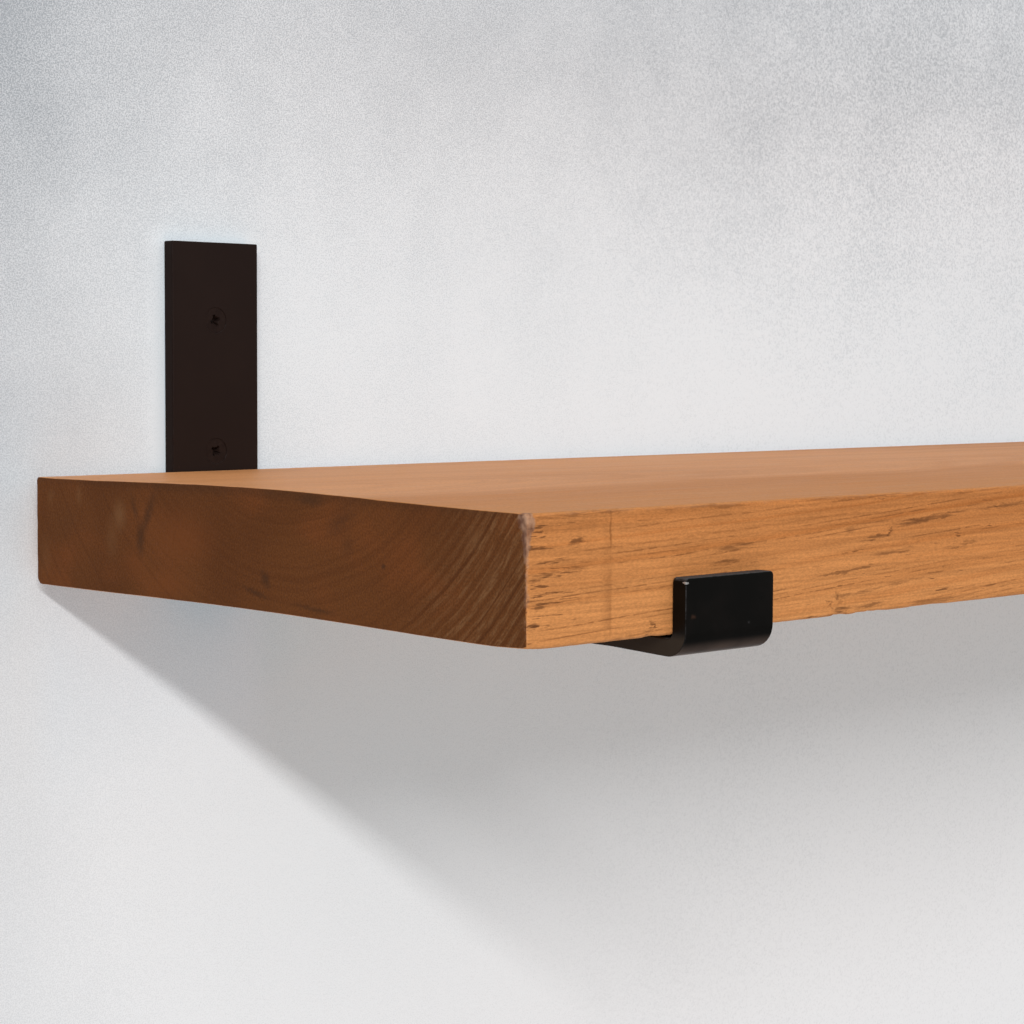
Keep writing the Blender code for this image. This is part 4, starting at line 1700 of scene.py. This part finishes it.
    def _round_corners(self, mesh: bpy.types.Mesh) -> None:
        """Round the corners at the bar's two cut ends.

        Args:
            mesh: The bent bar, changed in place.
        """
        bm = bmesh.new()
        bm.from_mesh(mesh)
        bmesh.ops.remove_doubles(bm, verts=bm.verts[:], dist=MERGE_DISTANCE)
        ends = ((self.high.z, self.upstand_corner), (self.lip_top, self.lip_corner))
        for top, size in ends:
            corners = [
                edge
                for edge in bm.edges
                if abs(edge.verts[0].co.x - edge.verts[1].co.x) < MERGE_DISTANCE
                and all(abs(vert.co.z - top) < MERGE_DISTANCE * 10 for vert in edge.verts)
            ]
            bmesh.ops.bevel(
                bm, geom=corners, offset=size, segments=self.corner_steps, profile=0.5, affect="EDGES"
            )
        bmesh.ops.recalc_face_normals(bm, faces=bm.faces[:])
        bm.to_mesh(mesh)
        bm.free()

    def _hole(self, screw: "WoodScrew") -> bpy.types.Object:
        """Make the tool that drills and countersinks one hole.

        Args:
            screw: The screw that goes into the hole.

        Returns:
            The tool, to be removed after use.
        """
        rim = screw.head_radius + self.hole_gap
        bore = screw.thread_radius + self.hole_gap
        seat = screw.head_rim + self.hole_gap * (math.sqrt(2.0) - 1.0)
        face = screw.head_sink
        flare = self.rim_break
        profile = (
            (0.0, face + flare),
            (rim + 2 * flare, face + flare),
            (rim, face - flare),
            (rim, -seat),
            (bore, -seat - rim + bore),
            (bore, -2 * self.thickness),
            (0.0, -2 * self.thickness),
        )
        bm = bmesh.new()
        verts = [bm.verts.new((radius, 0.0, height)) for radius, height in profile]
        edges = [bm.edges.new(pair) for pair in zip(verts, verts[1:])]
        bmesh.ops.spin(
            bm,
            geom=verts + edges,
            cent=(0.0, 0.0, 0.0),
            axis=(0.0, 0.0, 1.0),
            angle=math.tau,
            steps=self.hole_sides,
            use_merge=True,
        )
        bmesh.ops.remove_doubles(bm, verts=bm.verts[:], dist=MERGE_DISTANCE)
        bmesh.ops.recalc_face_normals(bm, faces=bm.faces[:])
        bm.transform(screw.seat)
        mesh = bpy.data.meshes.new(f"{screw.name}_hole")
        bm.to_mesh(mesh)
        bm.free()
        tool = bpy.data.objects.new(mesh.name, mesh)
        tool.hide_render = True
        bpy.context.scene.collection.objects.link(tool)
        return tool


@dataclass
class WoodScrew:
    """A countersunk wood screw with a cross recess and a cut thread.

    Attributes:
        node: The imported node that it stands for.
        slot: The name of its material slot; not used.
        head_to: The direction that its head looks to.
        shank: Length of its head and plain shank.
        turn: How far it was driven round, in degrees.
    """

    node: str
    slot: str
    head_to: Vector
    shank: float
    turn: float
    thread_radius: float
    pitch: float
    core_share: float = 0.66
    head_rim: float = 0.0004
    head_sink: float = 0.0002
    point: float = 0.006
    thread_depth: float = 0.0006
    recess_span: float = 0.0050
    recess_width: float = 0.0014
    recess_depth: float = 0.0022
    sides: int = 32
    row_step: float = 0.00026
    sharp_angle: float = 38.0

    def __post_init__(self) -> None:
        """Read the screw's place and size from the frame."""
        self.name = f"{self.node}_steel"
        low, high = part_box(self.node)
        size, centre = high - low, (low + high) / 2
        self.length = max(abs(part * axis) for part, axis in zip(size, self.head_to))
        self.head_radius = size.x / 2
        head = centre + self.head_to * (self.length / 2)
        turned = self.head_to.to_track_quat("Z", "Y").to_matrix().to_4x4()
        self.seat = Matrix.Translation(head) @ turned @ Matrix.Rotation(math.radians(self.turn), 4, "Z")

    @staticmethod
    def rule() -> RuleBench:
        """The tree that makes a screw with its head at z = 0 and its point below.

        Returns:
            The tree's bench.
        """
        bench = RuleBench("countersunk_wood_screw")
        ridge_share, over_depth = 0.24, 1.2
        wedge_top, wedge_taper = math.sqrt(0.5), 0.5
        pit_share, pit_taper, pit_drop = 0.42, 0.3, -0.85
        names = ("Head Radius", "Thread Radius", "Shank Radius", "Core Radius", "Length", "Shank Length")
        head, thread, shank, core, length, shank_length = (bench.size(name) for name in names)
        rim, pitch, point = bench.size("Rim Height"), bench.size("Pitch"), bench.size("Point Length")
        sides, rows = bench.size("Sides", "Int"), bench.size("Rows", "Int")
        sheet, angle, row = bench.lathe(sides, rows)
        steps = bench.minus(rows, 2)
        below = bench.math("MAXIMUM", bench.minus(row, 1), 0.0)
        depth = bench.times(bench.math("DIVIDE", below, steps), length)

        cone = bench.minus(head, bench.math("MAXIMUM", bench.minus(depth, rim), 0.0))
        plain = bench.math("MAXIMUM", cone, shank)
        past_shank = bench.minus(depth, shank_length)
        begun = bench.ease(past_shank, -0.0004, 0.0010)
        turns = bench.math("DIVIDE", angle, math.tau)
        phase = bench.math("FRACT", bench.plus(bench.math("DIVIDE", depth, pitch), turns))
        from_ridge = bench.math("ABSOLUTE", bench.minus(phase, 0.5))
        ridge = bench.minus(1.0, bench.math("MINIMUM", bench.math("DIVIDE", from_ridge, ridge_share), 1.0))
        cut = bench.math("MULTIPLY_ADD", bench.minus(thread, core), ridge, core)
        threaded = bench.math("MULTIPLY_ADD", bench.minus(cut, plain), begun, plain)
        taper = bench.math("DIVIDE", bench.minus(length, depth), point)
        radius = bench.times(
            threaded, bench.math("MINIMUM", taper, 1.0), bench.math("GREATER_THAN", row, 0.5)
        )
        body = bench.wrap(sheet, angle, radius, depth)

        span, width, recess_depth = (bench.size(f"Recess {name}") for name in ("Span", "Width", "Depth"))
        feeds = {
            "Vertices": 4, "Radius Top": wedge_top, "Radius Bottom": wedge_top * wedge_taper, "Depth": 1.0
        }
        wedge = bench.add("GeometryNodeMeshCone", feeds).outputs[0]
        wedge = bench.move(wedge, turn=(0.0, 0.0, math.pi / 4))
        arms = []
        for quarter in range(2):
            scale = bench.combine(span, width, bench.times(recess_depth, over_depth))
            sunk = bench.combine(0.0, 0.0, bench.times(recess_depth, -1.0))
            arms.append(bench.move(wedge, sunk, (0.0, 0.0, quarter * math.pi / 2), scale))
        pit_radius = bench.times(span, pit_share)
        feeds = {
            "Vertices": 16, "Radius Top": pit_radius, "Radius Bottom": bench.times(pit_radius, pit_taper)
        }
        pit = bench.add("GeometryNodeMeshCone", {**feeds, "Depth": bench.times(recess_depth, over_depth)})
        pit_place = bench.combine(0.0, 0.0, bench.times(recess_depth, pit_drop))
        arms.append(bench.move(pit.outputs[0], pit_place))
        bench.close(bench.boolean("DIFFERENCE", body, arms))
        return bench

    def build(self, rule: RuleBench, finish: bpy.types.Material) -> bpy.types.Object:
        """Make the screw and dress it.

        Args:
            rule: The tree that makes screws.
            finish: The screw steel.

        Returns:
            The piece.
        """
        mesh = rule.make(
            self.name,
            {
                "Head Radius": self.head_radius,
                "Thread Radius": self.thread_radius,
                "Shank Radius": self.thread_radius - self.thread_depth,
                "Core Radius": self.thread_radius * self.core_share,
                "Length": self.length,
                "Shank Length": self.shank,
                "Rim Height": self.head_rim,
                "Pitch": self.pitch,
                "Point Length": self.point,
                "Sides": self.sides,
                "Rows": round(self.length / self.row_step) + 2,
                "Recess Span": self.recess_span,
                "Recess Width": self.recess_width,
                "Recess Depth": self.recess_depth,
                "Material": finish,
            },
        )
        mesh.transform(self.seat)
        return place_piece(self.name, tidy_mesh(mesh, self.sharp_angle), self.node, finish)


@dataclass
class WallPlug:
    """A nylon wall plug: a collar, barbed legs parted by a slot, and two fins."""

    side: Side
    place: WallPlace
    bore: float = 0.0028
    wall: float = 0.0012
    collar: float = 0.008
    nose: float = 0.004
    barb: float = 0.0005
    barbs: int = 6
    slot_width: float = 0.0014
    fin_height: float = 0.0008
    fin_width: float = 0.0010
    fin_length: float = 0.014
    sides: int = 24
    rows: int = 151
    sharp_angle: float = 35.0
    slot: str = "plug_nylon"

    def __post_init__(self) -> None:
        """Read the plug's place and length from the frame."""
        self.node = f"{self.side.value}_{self.place.value}_wall_plug"
        self.name = f"{self.node}_nylon"
        low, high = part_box(self.node)
        self.length = high.y - low.y
        mouth = Vector(((low.x + high.x) / 2, low.y, (low.z + high.z) / 2))
        self.seat = Matrix.Translation(mouth) @ Euler((math.pi / 2, 0.0, 0.0)).to_matrix().to_4x4()

    @staticmethod
    def rule() -> RuleBench:
        """The tree that makes a plug with its mouth at z = 0 and its nose below.

        Returns:
            The tree's bench.
        """
        bench = RuleBench("barbed_wall_plug")
        fin_start, fin_gap = 0.004, 0.0003
        length, outside, bore = bench.size("Length"), bench.size("Outer Radius"), bench.size("Bore Radius")
        collar, nose = bench.size("Collar Length"), bench.size("Nose Length")
        barb, barbs = bench.size("Barb Depth"), bench.size("Barb Count", "Int")
        slot_width = bench.size("Slot Width")
        fin_height, fin_width, fin_length = (
            bench.size(f"Fin {name}") for name in ("Height", "Width", "Length")
        )
        sides, half_rows = bench.size("Sides", "Int"), bench.size("Rows", "Int")
        rows = bench.math("MULTIPLY_ADD", half_rows, 2.0, 1.0)
        sheet, angle, row = bench.lathe(sides, rows)
        last = bench.minus(half_rows, 1)
        outer = bench.math("LESS_THAN", row, bench.minus(half_rows, 0.5))
        closing = bench.math("GREATER_THAN", row, bench.math("MULTIPLY_ADD", half_rows, 2.0, -0.5))
        back_row = bench.minus(bench.math("MULTIPLY_ADD", half_rows, 2.0, -1.0), row)
        row_down = bench.math("MAXIMUM", bench.math("MINIMUM", row, back_row), 0.0)
        depth = bench.times(bench.math("DIVIDE", row_down, last), length)

        toothed = bench.minus(bench.minus(length, collar), nose)
        past = bench.math("DIVIDE", bench.minus(depth, collar), bench.math("DIVIDE", toothed, barbs))
        rise = bench.minus(1.0, bench.math("FRACT", past))
        inside_teeth = bench.times(
            bench.math("GREATER_THAN", past, 0.0), bench.math("LESS_THAN", past, barbs)
        )
        nose_share = bench.math("DIVIDE", bench.minus(bench.plus(depth, nose), length), nose)
        cut = bench.math("MAXIMUM", bench.times(rise, inside_teeth), bench.math("MAXIMUM", nose_share, 0.0))
        barbed = bench.minus(outside, bench.times(cut, barb))
        shown = bench.math("MAXIMUM", outer, closing)
        radius = bench.math("MULTIPLY_ADD", bench.minus(barbed, bore), shown, bore)
        body = bench.wrap(sheet, angle, radius, depth)

        fin_span = bench.times(bench.plus(outside, fin_height), 2.0)
        wing = bench.minus(bench.plus(outside, fin_height), bench.plus(bore, fin_gap))
        wing_middle = bench.minus(bench.plus(outside, fin_height), bench.times(wing, 0.5))
        fin_drop = bench.times(bench.plus(bench.times(fin_length, 0.5), fin_start), -1.0)
        fin = bench.add(
            "GeometryNodeMeshCube", {"Size": bench.combine(wing, fin_width, fin_length)}
        ).outputs[0]
        fins = []
        for sign in (-1.0, 1.0):
            fins.append(bench.move(fin, bench.combine(bench.times(wing_middle, sign), 0.0, fin_drop)))
        body = bench.boolean("UNION", body, fins)
        slot_length = bench.minus(length, collar)
        slot_size = bench.combine(slot_width, fin_span, bench.times(slot_length, 1.1))
        slot_drop = bench.times(bench.math("MULTIPLY_ADD", slot_length, 0.55, collar), -1.0)
        slot = bench.add("GeometryNodeMeshCube", {"Size": slot_size}).outputs[0]
        bench.close(
            bench.boolean("DIFFERENCE", body, [bench.move(slot, bench.combine(0.0, 0.0, slot_drop))])
        )
        return bench

    def build(self, rule: RuleBench, finish: bpy.types.Material) -> bpy.types.Object:
        """Make the plug and dress it.

        Args:
            rule: The tree that makes plugs.
            finish: The nylon.

        Returns:
            The piece.
        """
        mesh = rule.make(
            self.name,
            {
                "Length": self.length,
                "Outer Radius": self.bore + self.wall,
                "Bore Radius": self.bore,
                "Collar Length": self.collar,
                "Nose Length": self.nose,
                "Barb Depth": self.barb,
                "Barb Count": self.barbs,
                "Slot Width": self.slot_width,
                "Fin Height": self.fin_height,
                "Fin Width": self.fin_width,
                "Fin Length": self.fin_length,
                "Sides": self.sides,
                "Rows": self.rows,
                "Material": finish,
            },
        )
        mesh.transform(self.seat)
        return place_piece(self.name, tidy_mesh(mesh, self.sharp_angle), self.node, finish)


@dataclass
class Studio:
    """The pale sweep behind and below the shelf, the soft light and the camera."""

    wall_gap: float = 0.0006
    floor_level: float = -0.75
    cove_radius: float = 0.35
    cove_steps: int = 16
    half_width: float = 6.0
    wall_height: float = 4.0
    floor_reach: float = 6.0
    horizon: Colour = (0.360, 0.365, 0.372)
    zenith: Colour = (0.930, 0.938, 0.950)
    far_background: Colour = (0.800, 0.805, 0.812)
    light_from: Point = (-0.73, -1.0, 0.533)
    light_distance: float = 5.0
    light_length: float = 3.17
    light_breadth: float = 0.32
    light_power: float = 248.0
    camera_place: Point = (-0.89135, -0.73377, 0.04302)
    camera_lens: float = 80.566
    camera_yaw: float = 42.96
    camera_pitch: float = -3.78
    camera_roll: float = -0.25
    sensor_width: float = 36.0
    near_limit: float = 0.01

    def build(self) -> None:
        """Set up backdrop, light and camera."""
        self._backdrop()
        self._ambient_light()
        self._strip_light()
        self._camera()
        bpy.context.scene.view_settings.view_transform = "Standard"

    def _backdrop(self) -> None:
        """Hang one curved sheet that is wall and floor, lit but lighting nothing itself."""
        profile = [(self.wall_gap, self.wall_height)]
        centre = (self.wall_gap - self.cove_radius, self.floor_level + self.cove_radius)
        for step in range(self.cove_steps + 1):
            angle = -math.pi / 2 * step / self.cove_steps
            profile.append(
                (
                    centre[0] + self.cove_radius * math.cos(angle),
                    centre[1] + self.cove_radius * math.sin(angle),
                )
            )
        profile.append((-self.floor_reach, self.floor_level))
        points = [(x, y, z) for y, z in profile for x in (-self.half_width, self.half_width)]
        faces = [(2 * i + 1, 2 * i, 2 * i + 2, 2 * i + 3) for i in range(len(profile) - 1)]
        mesh = bpy.data.meshes.new("backdrop")
        mesh.from_pydata(points, [], faces)
        mesh.shade_smooth()
        mesh.materials.append(PlasterFinish().make())
        backdrop = bpy.data.objects.new("backdrop", mesh)
        backdrop.visible_diffuse = False
        backdrop.visible_transmission = False
        backdrop.visible_shadow = False
        bpy.context.scene.collection.objects.link(backdrop)

    def _ambient_light(self) -> None:
        """Surround the shelf with soft light, brighter from above and below than from the sides."""
        world = bpy.data.worlds.new("pale_room")
        world.use_nodes = True
        bench = NodeBench(world.node_tree)
        direction = bench.separate(bench.add("ShaderNodeTexCoord").outputs["Generated"])
        climb = bench.ease(bench.math("ABSOLUTE", direction[2]), 0.10, 0.80)
        feeds = {0: climb, 6: (*self.horizon, 1.0), 7: (*self.zenith, 1.0)}
        light = bench.add("ShaderNodeMix", feeds, data_type="RGBA").outputs[2]
        seen = bench.add("ShaderNodeLightPath").outputs["Is Camera Ray"]
        feeds = {0: seen, 6: light, 7: (*self.far_background, 1.0)}
        colour = bench.add("ShaderNodeMix", feeds, data_type="RGBA").outputs[2]
        background = world.node_tree.nodes["Background"]
        bench.feed(background.inputs["Color"], colour)
        bench.feed(background.inputs["Strength"], 1.0)
        bpy.context.scene.world = world

    def _strip_light(self) -> None:
        """Place the long soft lamp, to the left of the shelf and above it."""
        lamp = bpy.data.lights.new("strip_light", "AREA")
        lamp.shape = "RECTANGLE"
        lamp.size = self.light_length
        lamp.size_y = self.light_breadth
        lamp.energy = self.light_power
        source = Vector(self.light_from)
        rise = Vector((source.x, 0.0, source.z)).normalized()
        aim = -source.normalized()
        along = (rise - aim * rise.dot(aim)).normalized()
        axes = Matrix((along, (-aim).cross(along), -aim)).transposed()
        strip = bpy.data.objects.new("strip_light", lamp)
        left_end = Vector((cad_box[0].x, 0.0, 0.0))
        strip.matrix_world = Matrix.Translation(left_end + source * self.light_distance) @ axes.to_4x4()
        bpy.context.scene.collection.objects.link(strip)

    def _camera(self) -> None:
        """Set the camera where the photograph was taken from."""
        yaw, pitch, roll = (math.radians(a) for a in (self.camera_yaw, self.camera_pitch, self.camera_roll))
        forward = Vector(
            (math.cos(pitch) * math.sin(yaw), math.cos(pitch) * math.cos(yaw), math.sin(pitch))
        )
        right = Vector((math.cos(yaw), -math.sin(yaw), 0.0))
        down = forward.cross(right)
        image_right = right * math.cos(roll) + down * math.sin(roll)
        image_down = down * math.cos(roll) - right * math.sin(roll)
        axes = Matrix((image_right, -image_down, -forward)).transposed().to_4x4()
        lens = bpy.data.cameras.new("photo_camera")
        lens.lens = self.camera_lens
        lens.sensor_width = self.sensor_width
        lens.clip_start = self.near_limit
        camera = bpy.data.objects.new("photo_camera", lens)
        camera.matrix_world = Matrix.Translation(self.camera_place) @ axes
        bpy.context.scene.collection.objects.link(camera)
        bpy.context.scene.camera = camera


BLACK_SCREW = ScrewFinish(
    name="blackened_screw_steel",
    skin=(0.0145, 0.0082, 0.0068),
    shade=(0.0190, 0.0108, 0.0088),
    rubbed=(0.0290, 0.0210, 0.0180),
    metallic=0.0,
    roughness=0.40,
    specular=0.12,
)
ZINC_SCREW = ScrewFinish(
    name="zinc_plated_steel",
    skin=(0.560, 0.550, 0.510),
    shade=(0.470, 0.455, 0.410),
    rubbed=(0.660, 0.650, 0.620),
    metallic=1.0,
    roughness=0.36,
    specular=0.5,
)


def wall_screws(side: Side) -> list[WoodScrew]:
    """The screws that hold one bracket to the wall.

    Args:
        side: The bracket's side.

    Returns:
        The screws, not yet made.
    """
    turns = {WallPlace.UPPER: 20.0, WallPlace.LOWER: 55.0}
    return [
        WoodScrew(
            node=f"{side.value}_{place.value}_wall_screw",
            slot="wall_screw_black",
            head_to=Vector((0.0, -1.0, 0.0)),
            shank=0.022,
            turn=turns[place],
            thread_radius=0.0025,
            pitch=0.0027,
        )
        for place in WallPlace
    ]


def board_screws(side: Side) -> list[WoodScrew]:
    """The screws that hold the board to one bracket's arm.

    Args:
        side: The bracket's side.

    Returns:
        The screws, not yet made.
    """
    turns = {BoardPlace.FRONT: 20.0, BoardPlace.BACK: -15.0}
    return [
        WoodScrew(
            node=f"{side.value}_{place.value}_board_screw",
            slot="board_screw_zinc",
            head_to=Vector((0.0, 0.0, -1.0)),
            shank=0.008,
            turn=turns[place],
            thread_radius=0.0020,
            pitch=0.0022,
        )
        for place in BoardPlace
    ]


def main() -> None:
    """Build the shelf's pieces in order, then the studio around them."""
    logging.basicConfig(level=logging.INFO, format="%(message)s")
    ShelfBoard().build(WoodFinish())
    bar_rule, screw_rule, plug_rule = BentBar.rule(), WoodScrew.rule(), WallPlug.rule()
    black, zinc, nylon = BLACK_SCREW.make(), ZINC_SCREW.make(), NylonFinish().make()
    for side in Side:
        to_wall, to_board = wall_screws(side), board_screws(side)
        bar = BentBar(side)
        paint = PaintFinish().make(f"satin_black_{side.value}", bar.low, bar.lip_top)
        bar.build(bar_rule, paint, [*to_wall, *to_board])
        for screw in to_wall:
            screw.build(screw_rule, black)
        for screw in to_board:
            screw.build(screw_rule, zinc)
        for place in WallPlace:
            WallPlug(side, place).build(plug_rule, nylon)
    Studio().build()


if __name__ == "__main__":
    main()
